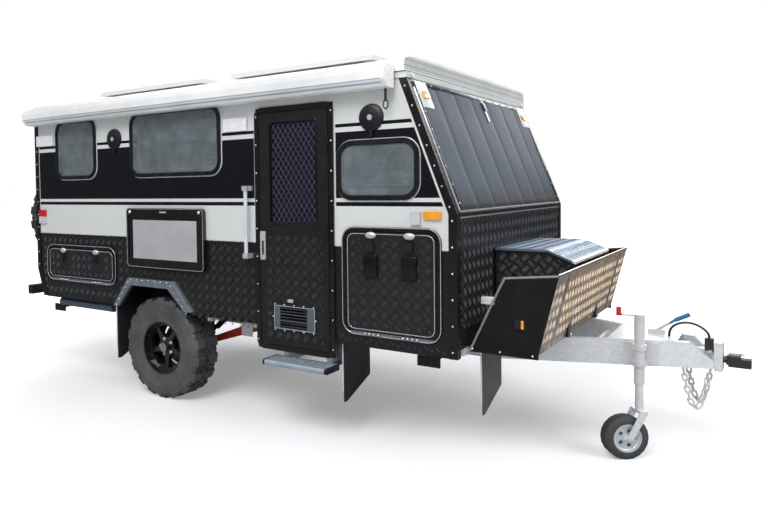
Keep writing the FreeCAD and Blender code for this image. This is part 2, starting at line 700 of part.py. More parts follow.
def flares():
    line = [(s.arch_rear, s.rear_sill), (s.arch_rear_top, s.arch_top),
            (s.arch_front_top, s.arch_top), (s.arch_front, s.sill)]
    ways = ((-1, 0), (-0.5, 1), (0.5, 1), (1, 0))
    outer = [(x + way[0] * s.flare_wide, z + way[1] * s.flare_wide) for (x, z), way in zip(line, ways)]
    flare = plate("ArchFlare", "y", -s.half_width - s.flare_proud, -s.half_width,
                  line + list(reversed(outer)))
    node("arch_flares", flare, mirror("ArchFlareLeft", flare))


# Top frame round the walls, the lifting roof over it and the folded skirt between
ROOF = {
    "band_proud": 8, "band_tall": 39, "band_wide": 38, "roof_over_front": 5,
    "roof_over_side": 18, "roof_over_rear": 12,
    "roof_edge": 74, "roof_crown": 28, "roof_slope_in": 150, "roof_skin": 26, "skirt_wide": 14,
    "skirt_inset": 62, "panel_low": 18, "panel_thick": 30, "panel_wide": 670, "panel_in": 140,
    "panel_one_in": 750, "panel_long": 1170, "panel_two_rear": 680, "panel_two_in": 295, "foot_wide": 40,
    "roof_round": 34, "roof_shoulder_round": 90,
}
s.add(ROOF)
roof_front = slope_top_x + s.roof_over_front
roof_rear = s.body_rear - s.roof_over_rear
roof_half_width = s.half_width + s.roof_over_side
panel_outer = s.half_width - s.panel_in
panel_inner = panel_outer - s.panel_wide
panel_one_rear = s.body_rear + s.panel_one_in
panel_one_front = panel_one_rear + s.panel_long
panel_two_front = slope_top_x - s.panel_two_in
band_top = s.wall_top + s.band_tall
roof_low = band_top + s.seat
roof_edge_top = roof_low + s.roof_edge
roof_top = roof_edge_top + s.roof_crown


def roof():
    band_x = (s.body_rear - s.band_proud, slope_top_x + s.band_proud)
    band_y = s.half_width + s.band_proud
    outer = block("TopBand", band_x, (-band_y, band_y), (s.wall_top, band_top))
    inner = block("TopBandInside", grown(band_x, -s.band_wide),
                  (s.band_wide - band_y, band_y - s.band_wide),
                  (s.wall_top - s.overrun, band_top + s.overrun))
    node("top_frame", cut("TopFrame", outer, inner))
    half = roof_half_width
    section = [
        (-half, roof_low), (half, roof_low), (half, roof_edge_top),
        (half - s.roof_slope_in, roof_top), (s.roof_slope_in - half, roof_top), (-half, roof_edge_top),
    ]
    shell = plate("RoofShell", "x", roof_rear, roof_front, section,
                  rounds=[(0, s.roof_round, (2, 5)), (0, s.roof_shoulder_round, (3, 4))])
    inside = [
        (s.roof_skin - half, roof_low - s.overrun), (half - s.roof_skin, roof_low - s.overrun),
        (half - s.roof_skin, roof_edge_top - s.roof_skin), (half - s.roof_slope_in, roof_top - s.roof_skin),
        (s.roof_slope_in - half, roof_top - s.roof_skin), (s.roof_skin - half, roof_edge_top - s.roof_skin),
    ]
    pocket(shell, "x", roof_rear + s.roof_skin, roof_front - s.roof_skin, inside)
    node("roof_shell", shell)
    panels = []
    for name, x in (("PanelOne", (panel_one_rear, panel_one_front)),
                    ("PanelTwo", (s.panel_two_rear, panel_two_front))):
        y = (-panel_outer, -panel_inner)
        low = roof_top + s.panel_low
        top = block(name, x, y, (low, low + s.panel_thick))
        legs = []
        for end in (x[0] + s.foot_wide, x[1] - 2 * s.foot_wide):
            legs.append(block(name + "Foot", (end, end + s.foot_wide), (y[0] + s.foot_wide, y[1]),
                              (roof_top, low)))
        panels.append(fuse(name + "OnFeet", top, *legs))
    node("solar_panels", *panels)
    out_x = (s.body_rear + s.skirt_inset, slope_top_x - s.skirt_inset)
    out_y = s.half_width - s.skirt_inset
    # The roof's underside rises inwards, so the cloth ends where its outer face meets it
    rise = s.roof_crown * (half - s.roof_skin - out_y) / (s.roof_slope_in - s.roof_skin)
    skirt_z = (band_top - s.band_tall / 2, roof_edge_top - s.roof_skin + rise - s.seat)
    cloth = block("Skirt", out_x, (-out_y, out_y), skirt_z)
    hollow = block("SkirtInside", grown(out_x, -s.skirt_wide), (s.skirt_wide - out_y, out_y - s.skirt_wide),
                   grown(skirt_z, s.overrun))
    node("tent_skirt", cut("TentSkirt", cloth, hollow))


# Awning cassette along the right side
AWNING = {
    "awning_rear_in": 60, "awning_front_in": 85, "awning_drop": 59, "awning_tall": 134, "awning_gap": 30,
    "awning_deep": 125,
    "awning_nose": 40, "bracket_wide": 90, "bracket_up": 12, "bracket_tall": 36, "cap_thick": 22,
    "awning_round": 12,
}
s.add(AWNING)
awning_in = s.half_width + s.awning_gap
awning_out = awning_in + s.awning_deep
awning_rear = s.body_rear + s.awning_rear_in
awning_front = slope_top_x - s.awning_front_in
awning_low = s.wall_top - s.awning_drop
bracket_low = awning_low + s.bracket_up
BRACKET_SHARES = (0.04, 0.28, 0.66, 0.94)


def awning():
    low, high = awning_low, awning_low + s.awning_tall
    nose = s.awning_nose
    section = [
        (-awning_in, low), (-awning_in, high), (nose - awning_out, high),
        (-awning_out, high - nose), (-awning_out, low + nose), (nose - awning_out, low),
    ]
    case = plate("AwningCase", "x", awning_rear, awning_front, section,
                 rounds=[(0, s.awning_round, (1,)), (0, s.awning_nose / 2, (2, 3, 4, 5))])
    pieces = [case]
    for start in (awning_rear - s.cap_thick, awning_front):
        pieces.append(plate("AwningCap", "x", start, start + s.cap_thick, section,
                            rounds=[(0, s.awning_round, (1,)), (0, s.awning_nose / 2, (2, 3, 4, 5))]))
    for share in BRACKET_SHARES:
        start = awning_rear + (awning_front - awning_rear - s.bracket_wide) * share
        z = (bracket_low, bracket_low + s.bracket_tall)
        pieces.append(block("AwningFoot", (start, start + s.bracket_wide), (-awning_in, -s.half_width), z))
    node("awning", fuse("Awning", *pieces))


# Soft cover over the front slope, quilted in upright channels
COVER = {
    "cover_thick": 14, "cover_side": 52, "cover_end": 12,
}
s.add(COVER)


def cover():
    run = Vector(float(slope_top_x - s.body_front), 0, float(s.wall_top - bend_z))
    run.normalize()
    out_x, out_z = s.cover_thick * run.z, -s.cover_thick * run.x
    ends = [(s.body_front + s.cover_end * run.x, bend_z + s.cover_end * run.z),
            (slope_top_x - s.cover_end * run.x, s.wall_top - s.cover_end * run.z)]
    lift_x, lift_z = s.seat * run.z, -s.seat * run.x
    inner = [(x + lift_x, z + lift_z) for x, z in ends]
    outer = [(x + out_x, z + out_z) for x, z in reversed(ends)]
    half = s.half_width - s.cover_side
    node("front_cover", plate("FrontCover", "y", -half, half, inner + outer))


# Box and stone shield on the drawbar
FRONT_BOX = {
    "tray_thick": 8, "tray_over": 2, "shield_half": 960, "shield_lean": 108, "shield_top": 1140,
    "shield_ahead": 402, "shield_thick": 8, "wing_thick": 8, "rim_radius": 9, "wing_tube": 7, "tube_sides": 8,
    "wing_low_ahead": 22,
    "wing_lean": 188, "wing_top_down": 28, "wing_shoulder_drop": 52, "wing_low": 672, "wing_front_gap": 2,
    "box_half": 470, "box_gap": 6, "box_top": 1222, "lid_slope_run": 157, "box_skin": 10, "lid_thick": 14,
    "lid_over": 12, "box_lean": 83, "lid_slope_drop": 66,
    "bracket_side": 370, "bracket_half": 32, "bracket_rise": 78, "bracket_proud": 20, "latch_half": 24,
    "latch_drop": 62, "latch_over": 16, "latch_proud": 9, "latch_side": 300,
}
s.add(FRONT_BOX)
box_rear = s.body_front + s.box_gap
shield_foot_x = s.body_front + s.shield_ahead
tray_front = shield_foot_x + s.tray_over
shield_top_x = shield_foot_x + s.shield_lean
wing_rear_low = s.body_front + s.wing_low_ahead
wing_rear_top = wing_rear_low + s.wing_lean
lid_front = shield_foot_x + s.box_lean
lid_front_z = s.box_top - s.lid_slope_drop
wing_top = s.shield_top - s.wing_top_down
wing_shoulder = wing_top - s.wing_shoulder_drop
box_break = lid_front - s.lid_slope_run


wing_face = s.shield_half + s.wing_thick


def front_box():
    tray = block("Tray", (box_rear, tray_front), (-s.shield_half, s.shield_half),
                 (rail_top, rail_top + s.tray_thick))
    low = rail_top + s.tray_thick
    slope = (shield_top_x - shield_foot_x) / (s.shield_top - low)

    def shield_x(z):
        return shield_foot_x + (z - low) * slope

    panel = plate("ShieldPanel", "y", -s.shield_half, s.shield_half, [
        (shield_foot_x, low), (shield_foot_x + s.shield_thick, low),
        (shield_top_x + s.shield_thick, s.shield_top), (shield_top_x, s.shield_top)])
    face = s.shield_thick + s.bracket_proud
    foot = [(shield_foot_x, low), (shield_foot_x + face, low),
            (shield_foot_x + face, low + s.bracket_rise / 2),
            (shield_x(low + s.bracket_rise) + s.shield_thick, low + s.bracket_rise)]
    brackets = [plate("ShieldBracket", "y", side * s.bracket_side - s.bracket_half,
                      side * s.bracket_side + s.bracket_half, foot) for side in SIDES]
    edge_x = shield_top_x + s.shield_thick / 2
    tube = rod("ShieldTube", s.rim_radius, (edge_x, -s.shield_half, s.shield_top), 2 * s.shield_half, "y")
    node("stone_shield", fuse("StoneShield", tray, panel, tube, *brackets))
    wing = plate("ShieldWing", "y", -s.shield_half - s.wing_thick, -s.shield_half, [
        (wing_rear_low, s.wing_low), (shield_foot_x + s.shield_thick, s.wing_low),
        (shield_foot_x + s.shield_thick, low), (shield_top_x + s.shield_thick, s.shield_top),
        (wing_rear_top + 2 * s.rim_radius, wing_top),
        (wing_rear_top - s.rim_radius, wing_shoulder)])
    side = -s.shield_half - s.wing_tube - s.seat
    edge = [(wing_rear_low, s.wing_low), (wing_rear_top - s.rim_radius, wing_shoulder),
            (wing_rear_top + 2 * s.rim_radius, wing_top), (shield_top_x + s.shield_thick, s.shield_top)]
    tube = pipe("WingTube", s.tube_sides, s.wing_tube, [(x, side, z) for x, z in edge])
    wing = fuse("WingWithTube", wing, tube)
    node("shield_wings", wing, mirror("ShieldWingLeft", wing))
    profile = [(box_rear, low), (shield_foot_x, low), (lid_front, lid_front_z),
               (box_break, s.box_top), (box_rear, s.box_top)]
    skin = s.box_skin
    inside = [(box_rear + skin, low + skin), (shield_foot_x - skin, low + skin),
              (lid_front - skin, lid_front_z + s.overrun), (lid_front - skin, s.box_top + s.overrun),
              (box_rear + skin, s.box_top + s.overrun)]
    solid = plate("BoxOutside", "y", -s.box_half, s.box_half, profile)
    pocket(solid, "y", skin - s.box_half, s.box_half - skin, inside)
    node("front_box", solid)
    gap = s.seat
    lid = plate("BoxLid", "y", -s.box_half - s.lid_over, s.box_half + s.lid_over, [
        (box_rear + gap, s.box_top + gap), (box_break, s.box_top + gap),
        (lid_front, lid_front_z + gap), (lid_front, lid_front_z + gap + s.lid_thick),
        (box_break, s.box_top + gap + s.lid_thick), (box_rear + gap, s.box_top + gap + s.lid_thick)])
    node("box_lid", lid)


# Road wheels: lugged tyre on a five-spoke rim whose hub turns on the stub axle
ROAD_WHEEL = {
    "track_in": 158, "rim_outer": 210, "rim_skin": 12, "rim_half": 112, "shoulder": 32, "bead_fit": 0.5,
    "flange_tall": 12, "disc_face": -58, "disc_back": -22, "boss_radius": 60, "boss_back": 30,
    "cap_radius": 44, "cap_face": -96, "cap_top": 36, "stub_radius": 24, "stub_end": -63, "bore_end": -66,
    "drum_radius": 128, "drum_front": 38, "drum_back": 100, "spare_side": 592, "spare_height": 1390,
    "wheel_corners": 18, "sidewall_in": 5, "lug_tall": 14, "lug_half": 36, "lug_inner": 24, "lug_sunk": 12,
    "spokes": 5, "window_inner": 82, "window_outer": 168, "window_top": 184,
    "dish_round": 8,
}
s.add(ROAD_WHEEL)
track_half = s.half_width - s.track_in
rim_inner = s.rim_outer - s.rim_skin
flange_radius = s.rim_outer + s.flange_tall


def placed(name, item, x=0, y=0, z=0, about_z=0):
    """The same piece put at another place, turned about an upright line."""
    result = group(name, item)
    result.Placement.Rotation = Rotation(Vector(0, 0, 1), about_z)
    return move(result, x, y, z)


tread_share = 0.82
SPOKE_SHARES = {"inner": 0.115, "outer": 0.175}


def tyre_solid():
    """A carcass lofted through its sidewalls, with a row of lugs over each shoulder."""
    half, out, n = s.tyre_width / 2, s.tyre_radius, s.wheel_corners
    bead, ground = s.rim_half - s.bead_fit, out - s.lug_tall
    middle, edge = (flange_radius + out) / 2, half * tread_share
    right = [(-bead, flange_radius), (-half, middle), (s.sidewall_in - half, out - s.shoulder),
             (-edge, ground)]
    left = [(-place, radius) for place, radius in reversed(right)]
    carcass = faceted("Carcass", n, *right, *left)
    # Each lug stands on one flat of the carcass and runs down over its shoulder to the sidewall
    flat_share = math.cos(math.pi / int(n))
    foot_y, foot_z = s.sidewall_in - half, (out - s.shoulder) * flat_share
    lug = plate("Lug", "x", -s.lug_half, s.lug_half, [
        (-s.lug_inner, ground * flat_share - s.lug_sunk), (-s.lug_inner, out), (-edge, out),
        (foot_y, foot_z), (foot_y + s.lug_sunk, foot_z - s.lug_sunk)])
    lugs = about_axis("LugAt", lug, n)
    lugs += about_axis("LugLeftAt", mirror("LugLeft", lug), n)
    bore = faceted("TyreBore", n, (-half, s.rim_outer + s.bead_fit), (half, s.rim_outer + s.bead_fit))
    return cut("Tyre", fuse("LuggedTyre", carcass, *lugs), bore)


def rim_solid():
    """A barrel with a dished disc, its five windows cut between the spokes, a hub and its cap."""
    n = s.wheel_corners
    deep = s.rim_half + s.overrun
    barrel = cut("Barrel",
                 faceted("BarrelOutside", n, (-s.rim_half, s.rim_outer), (s.rim_half, s.rim_outer)),
                 faceted("BarrelInside", n, (-deep, rim_inner), (deep, rim_inner)))
    windows = []
    for i in range(int(s.spokes)):
        turn = 2 * math.pi * (i / s.spokes + QUARTER_SHARE)
        inner, outer = (2 * math.pi * SPOKE_SHARES["inner"] / 2, 2 * math.pi * SPOKE_SHARES["outer"] / 2)
        spots = [(s.window_inner, turn - inner), (s.window_outer, turn - outer), (s.window_top, turn),
                 (s.window_outer, turn + outer), (s.window_inner, turn + inner)]
        windows.append([(radius * math.cos(float(a)), radius * math.sin(float(a))) for radius, a in spots])
    disc = plate("RimDisc", "y", s.disc_face, s.disc_back, corners(n, rim_inner + s.dish_round), *windows)
    boss = faceted("Boss", n, (s.disc_back, s.boss_radius), (s.boss_back, s.boss_radius))
    cap = faceted("HubCap", n, (s.cap_face, s.cap_top), (s.disc_face, s.cap_radius))
    bore = rod("HubBore", s.stub_radius + s.seat, (0, s.bore_end, 0),
               s.boss_back - s.bore_end + s.overrun, "y")
    return cut("Rim", fuse("RimSolid", barrel, disc, boss, cap), bore)


def road_wheels():
    half = s.tyre_width / 2
    tyre, rim = tyre_solid(), rim_solid()
    for side in SIDES:
        name, turn = SIDE_NAMES[side], 0 if side < 0 else 180
        node(f"tyre_{name}", placed("TyreAt", tyre, 0, side * track_half, s.tyre_radius, turn))
        node(f"rim_{name}", placed("RimAt", rim, 0, side * track_half, s.tyre_radius, turn))
    centre = s.body_rear - s.spare_standoff - half
    wheel = group("WholeWheel", tyre, rim)
    spares = [placed("Spare", wheel, centre, side * s.spare_side, s.spare_height, -90) for side in SIDES]
    node("spare_wheels", *spares)


# Spare wheel carrier on the rear wall
CARRIER = {
    "post_wide": 90, "post_deep": 30, "post_low": 1010, "post_top": 1770, "carrier_bar": 50,
    "carrier_bar_half": 690,
}
s.add(CARRIER)


def spare_carrier():
    centre = s.body_rear - s.spare_standoff - s.tyre_width / 2
    parts = []
    for side in SIDES:
        middle = side * s.spare_side
        parts.append(block("CarrierPost", (s.body_rear - s.post_deep, s.body_rear),
                           (middle - s.post_wide / 2, middle + s.post_wide / 2), (s.post_low, s.post_top)))
        start = centre + s.stub_end
        parts.append(rod("CarrierStud", s.stub_radius, (start, middle, s.spare_height),
                         s.body_rear - s.seat - start, "x"))
    for low in (s.post_low + s.post_wide, s.post_top - 2 * s.post_wide):
        parts.append(block("CarrierBar", (s.body_rear - s.post_deep, s.body_rear),
                           (-s.carrier_bar_half, s.carrier_bar_half), (low, low + s.carrier_bar)))
    return fuse("SpareCarrier", *parts)


# Trailing arms: each hangs from a bracket on the chassis and carries a stub axle, spring and damper
SUSPENSION = {
    "arm_clear": 90, "arm_wide": 80, "arm_tail": -80, "arm_half_deep": 45, "pivot_x": 620, "pivot_z": 560,
    "bush_radius": 38, "bush_over": 40, "pin_radius": 16, "hanger_half": 52, "hanger_low": 505,
    "hanger_skin": 10, "spring_x": 150, "spring_in": 40, "spring_radius": 52, "spring_waist": 42,
    "spring_seat": 440, "tower_low": 640, "tower_half": 70, "tower_over": 24, "damper_radius": 24,
    "damper_rod": 11, "damper_clear": 40, "damper_foot_x": 40, "damper_foot_z": 400, "damper_top_x": 300,
    "damper_top_z": 620, "spring_corners": 16,
}
s.add(SUSPENSION)
arm_in = s.rail_outer + s.arm_clear
arm_out = arm_in + s.arm_wide
bush_in = arm_in - s.bush_over
bush_out = arm_out + s.bush_over
spring_side = arm_in + s.spring_in
tower_out = arm_out + s.tower_over
damper_side = s.rail_outer + s.damper_clear


spring_turns = 4
damper_rod_share = 0.45


def strut(name, radius, start, end):
    """A round bar between two points."""
    a, b = Vector(*[float(v) for v in start]), Vector(*[float(v) for v in end])
    bar = doc.addObject("Part::Cylinder", name)
    bar.Placement.Rotation = Rotation(Vector(0, 0, 1), b - a)
    bind(bar, Radius=radius, Height=(b - a).Length)
    return move(bar, *start)


def suspension():
    wheel_z, deep = s.tyre_radius, s.arm_half_deep
    beam = plate("ArmBeam", "y", -arm_out, -arm_in, [
        (s.arm_tail, wheel_z - deep), (-s.arm_tail, wheel_z - deep), (s.pivot_x, s.pivot_z - s.bush_radius),
        (s.pivot_x, s.pivot_z + s.bush_radius), (s.spring_x + s.spring_radius, s.spring_seat),
        (s.arm_tail, s.spring_seat)])
    bush = rod("ArmBush", s.bush_radius, (s.pivot_x, -bush_out, s.pivot_z), bush_out - bush_in, "y")
    bore = rod("ArmBore", s.pin_radius + s.seat, (s.pivot_x, -bush_out - s.overrun, s.pivot_z),
               bush_out - bush_in + 2 * s.overrun, "y")
    arm = cut("TrailingArm", fuse("ArmSolid", beam, bush), bore)
    x = (s.pivot_x - s.hanger_half, s.pivot_x + s.hanger_half)
    z = (s.hanger_low, rail_top)
    inner_y_side = bush_in - s.gap
    outer_y_side = bush_out + s.gap
    hanger = fuse(
        "ArmHanger",
        block("HangerInner", x, (-inner_y_side, -s.rail_outer), z),
        block("HangerOuter", x, (-outer_y_side - s.hanger_skin, -outer_y_side), z),
        block("HangerTop", x, (-outer_y_side - s.hanger_skin, -s.rail_outer),
              (rail_top - s.hanger_skin, rail_top)),
        rod("HangerPin", s.pin_radius, (s.pivot_x, -outer_y_side, s.pivot_z),
            outer_y_side - inner_y_side, "y"))
    tower_x = (s.spring_x - s.tower_half, s.spring_x + s.tower_half)
    tower = block("SpringTower", tower_x, (-tower_out, -s.rail_outer), (s.tower_low, rail_top))
    coil_top, coil_low = s.tower_low, s.spring_seat
    profile = []
    pitch = (coil_top - coil_low) / spring_turns
    for i in range(spring_turns):
        profile += [(coil_low + pitch * i, s.spring_waist), (coil_low + pitch * (i + 0.5), s.spring_radius)]
    profile.append((coil_top, s.spring_waist))
    spring = faceted("Spring", s.spring_corners, *profile, along="z")
    right = placed("SpringAt", spring, s.spring_x, -spring_side, 0)
    springs = [right, mirror("SpringLeft", right)]
    foot = (s.damper_foot_x, -damper_side, s.damper_foot_z)
    head = (s.damper_top_x, -damper_side, s.damper_top_z)
    knee = tuple(a + (b - a) * damper_rod_share for a, b in zip(foot, head))
    lug = rod("DamperLug", s.damper_rod, (foot[0], -arm_in, foot[2]), arm_in - damper_side, "y")
    top_lug = rod("DamperTopLug", s.damper_rod, head, damper_side - s.rail_outer, "y")
    right = fuse("Damper", strut("DamperRod", s.damper_rod, foot, head),
                 strut("DamperBody", s.damper_radius, knee, head), lug, top_lug)
    node("springs_and_dampers", *springs, right, mirror("DamperLeft", right))
    stub_far = track_half - s.stub_end
    stub = rod("Stub", s.stub_radius, (0, -stub_far, wheel_z), stub_far - arm_out, "y")
    drum = rod("Drum", s.drum_radius, (0, s.drum_front - track_half, wheel_z),
               s.drum_back - s.drum_front, "y")
    right = fuse("ArmWithStub", arm, stub, drum)
    node("trailing_arms", right, mirror("TrailingArmLeft", right))
    return [piece for one in (hanger, tower) for piece in (one, mirror("BracketLeft", one))]


# Rear bumper, its arms and the tail lamps
REAR_AND_LAMPS = {
    "bumper_rear": -1722, "bumper_deep": 60, "bumper_half": 1080, "bumper_tall": 82, "lamp_deep": 14,
    "tail_lamp_wide": 77, "tail_lamp_edge": 50, "tail_lamp_low": 1000, "tail_lamp_tall": 330,
    "marker_deep": 18, "rear_marker_in": 50, "rear_marker_wide": 92, "rear_marker_low": 1350,
    "rear_marker_tall": 120, "amber_wide": 110, "amber_in": 86, "amber_low": 1443, "amber_tall": 44,
    "lamp_bar_deep": 26, "lamp_tall": 90, "lamp_down": 91, "rear_lamp_in": 50, "rear_lamp_wide": 238,
    "door_lamp_wide": 205, "door_lamp_back": 60, "speaker_radius": 85, "speaker_deep": 14,
    "nose_marker_down": 105, "nose_marker_in": 145, "nose_marker_deep": 7, "nose_marker_long": 70,
    "nose_marker_tall": 22, "wing_lamp_ahead": 310, "wing_lamp_z": 860, "wing_lamp_half": 24,
    "wing_lamp_deep": 16, "rear_speaker_x": -446, "rear_speaker_down": 225, "speaker_ahead": 270,
    "front_speaker_down": 219, "speaker_dome": 12, "speaker_corners": 24, "stalk_half": 11,
    "stalk_long": 34, "clear_wide": 62, "clear_back": 82, "clear_low": 1410, "clear_tall": 75,
}
s.add(REAR_AND_LAMPS)
bumper_front = s.bumper_rear + s.bumper_deep
tail_lamp_out = s.half_width - s.tail_lamp_edge
tail_lamp_in = tail_lamp_out - s.tail_lamp_wide
tail_lamp_top = s.tail_lamp_low + s.tail_lamp_tall
rear_marker_start = s.body_rear + s.rear_marker_in
rear_marker_end = rear_marker_start + s.rear_marker_wide
rear_marker_top = s.rear_marker_low + s.rear_marker_tall
amber_end = s.body_front - s.amber_in
amber_start = amber_end - s.amber_wide
amber_top = s.amber_low + s.amber_tall
clear_start = amber_start - s.clear_back
lamp_top = awning_low - s.lamp_down
lamp_low = lamp_top - s.lamp_tall
rear_lamp_start = s.body_rear + s.rear_lamp_in
rear_lamp_end = rear_lamp_start + s.rear_lamp_wide
door_lamp_end = door_rear - s.door_lamp_back
door_lamp_start = door_lamp_end - s.door_lamp_wide
nose_marker_z = s.wall_top - s.nose_marker_down
nose_marker_side = s.half_width - s.nose_marker_in
wing_lamp_x = s.body_front + s.wing_lamp_ahead
front_speaker_x = door_front + s.speaker_ahead
front_speaker_z = s.wall_top - s.front_speaker_down
rear_speaker_z = s.wall_top - s.rear_speaker_down


DOME_SHARES = ((0, 0.94), (0.55, 0.72), (0.9, 0.42), (1, 0.2))


def on_wall(name, x, z, deep):
    return block(name, x, (-s.half_width - deep, -s.half_width), z)


def nose_marker():
    """An amber lamp on the front slope, set back from the cover's edge."""
    tall = s.wall_top - bend_z
    back = s.body_front - slope_top_x
    lean_back = math.atan2(float(back), float(tall))
    share = (nose_marker_z - bend_z) / tall
    lamp = block("NoseMarker", (-s.nose_marker_deep, s.nose_marker_deep),
                 (-s.nose_marker_long / 2, s.nose_marker_long / 2),
                 (-s.nose_marker_tall / 2, s.nose_marker_tall / 2))
    tilted = group("NoseMarkerTilted", lamp)
    tilted.Placement.Rotation = Rotation(Vector(0, 1, 0), -math.degrees(lean_back))
    off = (s.nose_marker_deep + s.cover_thick + 2 * s.seat) / math.cos(lean_back)
    middle = s.body_front - back * share + off
    return placed("NoseMarkerAt", tilted, middle, -nose_marker_side, nose_marker_z)


def rear_and_lamps():
    bar = block("Bumper", (s.bumper_rear, bumper_front), (-s.bumper_half, s.bumper_half),
                (rail_top, rail_top + s.bumper_tall))
    arm = block("BumperArm", (s.bumper_rear, rail_rear), (-s.rail_outer, -rail_inner),
                (rail_top - s.cross_depth, rail_top))
    node("rear_carrier", spare_carrier(), fuse("RearBumper", bar, arm, mirror("BumperArmLeft", arm)))
    lamp = block("TailLamp", (s.body_rear - s.lamp_deep, s.body_rear), (-tail_lamp_out, -tail_lamp_in),
                 (s.tail_lamp_low, tail_lamp_top))
    red = on_wall("RearMarker", (rear_marker_start, rear_marker_end),
                  (s.rear_marker_low, rear_marker_top), s.marker_deep)
    amber = on_wall("AmberMarker", (amber_start, amber_end), (s.amber_low, amber_top), s.marker_deep)
    clear = on_wall("ClearMarker", (clear_start, clear_start + s.clear_wide),
                    (s.clear_low, s.clear_low + s.clear_tall), s.marker_deep)
    lamps = [on_wall("AwningLamp", x, (lamp_low, lamp_top), s.lamp_bar_deep)
             for x in ((rear_lamp_start, rear_lamp_end), (door_lamp_start, door_lamp_end))]
    wing = block("WingLamp", (wing_lamp_x - s.wing_lamp_half, wing_lamp_x + s.wing_lamp_half),
                 (-wing_face - s.wing_lamp_deep, -wing_face),
                 (s.wing_lamp_z - s.wing_lamp_half, s.wing_lamp_z + s.wing_lamp_half))
    paired = [piece for one in (lamp, red, amber, clear, nose_marker(), wing)
              for piece in (one, mirror("LampLeft", one))]
    node("lamps", *paired, *lamps)
    rings = [(-s.speaker_deep - s.speaker_dome * deep, s.speaker_radius * wide)
             for deep, wide in reversed(DOME_SHARES)]
    dome = faceted("SpeakerDome", s.speaker_corners, *rings, (0, s.speaker_radius))
    stalk = block("SpeakerStalk", (-s.stalk_half, s.stalk_half), (-s.speaker_deep, 0),
                  (-s.speaker_radius - s.stalk_long, -s.speaker_radius / 2))
    speaker = fuse("Speaker", dome, stalk)
    node("speakers", *[placed("SpeakerAt", speaker, x, -s.half_width, z) for x, z in (
        (s.rear_speaker_x, rear_speaker_z), (front_speaker_x, front_speaker_z))])


# Grab handle beside the door
GRAB_HANDLE = {
    "grab_back": 53, "grab_out": 52, "grab_radius": 13, "grab_low": 1190, "grab_tall": 430,
    "grab_end": 34, "grab_half": 22,
}
s.add(GRAB_HANDLE)
grab_x = door_rear - s.grab_back
grab_top = s.grab_low + s.grab_tall


def grab_handle():
    middle = -s.half_width - s.grab_out
    bar = rod("GrabBar", s.grab_radius, (grab_x, middle, s.grab_low), grab_top - s.grab_low, "z")
    ends = [block("GrabEnd", (grab_x - s.grab_half, grab_x + s.grab_half),
                  (middle - s.grab_radius, -s.half_width), (low, low + s.grab_end))
            for low in (s.grab_low - s.grab_end, grab_top)]
    node("grab_handle", fuse("GrabHandle", bar, *ends))


# Step that slides out under the door
STEP = {
    "step_ahead": 135, "step_wide": 500, "step_under": 30, "step_out": 132, "step_drop": 76,
    "step_thick": 36, "step_cap": 22, "slide_wide": 34, "slide_clear": 110,
    "step_round": 15, "slot_long": 52, "slot_wide": 16, "slot_edge": 26,
}
s.add(STEP)
SLOT_COLUMN_SHARES = (0.1, 0.26, 0.42, 0.58, 0.74, 0.9)
SLOT_ROW_SHARES = (0.22, 0.5, 0.78)
step_start = door_rear + s.step_ahead
step_end = step_start + s.step_wide
step_in = s.half_width - s.step_under
step_reach = s.half_width + s.step_out
step_low = s.door_low - s.step_drop
slide_in = s.rail_outer + s.slide_clear
STEP_RAIL_SHARES = (0.16, 0.84)


def step():
    y = (-step_reach, -step_in)
    z = (step_low, step_low + s.step_thick)
    board = plate("Tread", "x", step_start, step_end, oblong(y, z), rounds=[(0, s.step_round, (0, 3))])
    slots = []
    for along in SLOT_COLUMN_SHARES:
        for across_share in SLOT_ROW_SHARES:
            x = step_start + (step_end - step_start) * along
            middle = y[0] + (y[1] - y[0]) * across_share
            slots.append(block("TreadSlot", (x - s.slot_long / 2, x + s.slot_long / 2),
                               (middle - s.slot_wide / 2, middle + s.slot_wide / 2),
                               (z[1] - s.slot_edge, z[1] + s.overrun)))
    tread = cut("SlottedTread", board, group("TreadSlots", *slots))
    arms, boxes = [], []
    top = step_low + s.step_thick
    for share in STEP_RAIL_SHARES:
        middle = step_start + (step_end - step_start) * share
        x = (middle - s.slide_wide / 2, middle + s.slide_wide / 2)
        arms.append(block("StepArm", x, (-step_in - s.step_cap, -slide_in), (step_low, top)))
        over = (top + s.seat, rail_top)
        boxes.append(block("StepHanger", x, (-step_in + s.overrun, -s.rail_outer), over))
    node("step_tread", fuse("Step", tread, *arms))
    return boxes


# Flaps against stones: two behind the wheels, two pairs ahead of them
FLAPS = {
    "flap_thick": 6, "wheel_flap_x": -486, "wheel_flap_wide": 275, "wheel_flap_edge": 20,
    "wheel_flap_low": 255, "step_flap_ahead": 25, "step_flap_wide": 337, "step_flap_edge": 48,
    "step_flap_low": 255, "flap_corner": 110, "flap_foot": 36, "nose_flap_ahead": 60,
    "nose_flap_clear": 15, "nose_flap_wide": 325, "nose_flap_low": 275,
    "hanger_bar": 22, "hanger_thick": 10, "hanger_up": 70,
}
s.add(FLAPS)
wheel_flap_out = s.half_width - s.wheel_flap_edge
wheel_flap_in = wheel_flap_out - s.wheel_flap_wide
step_flap_out = s.half_width - s.step_flap_edge
step_flap_in = step_flap_out - s.step_flap_wide
nose_flap_in = s.rail_outer + s.nose_flap_clear
nose_flap_x = s.body_front + s.nose_flap_ahead
step_flap_x = door_front + s.step_flap_ahead
nose_flap_out = nose_flap_in + s.nose_flap_wide


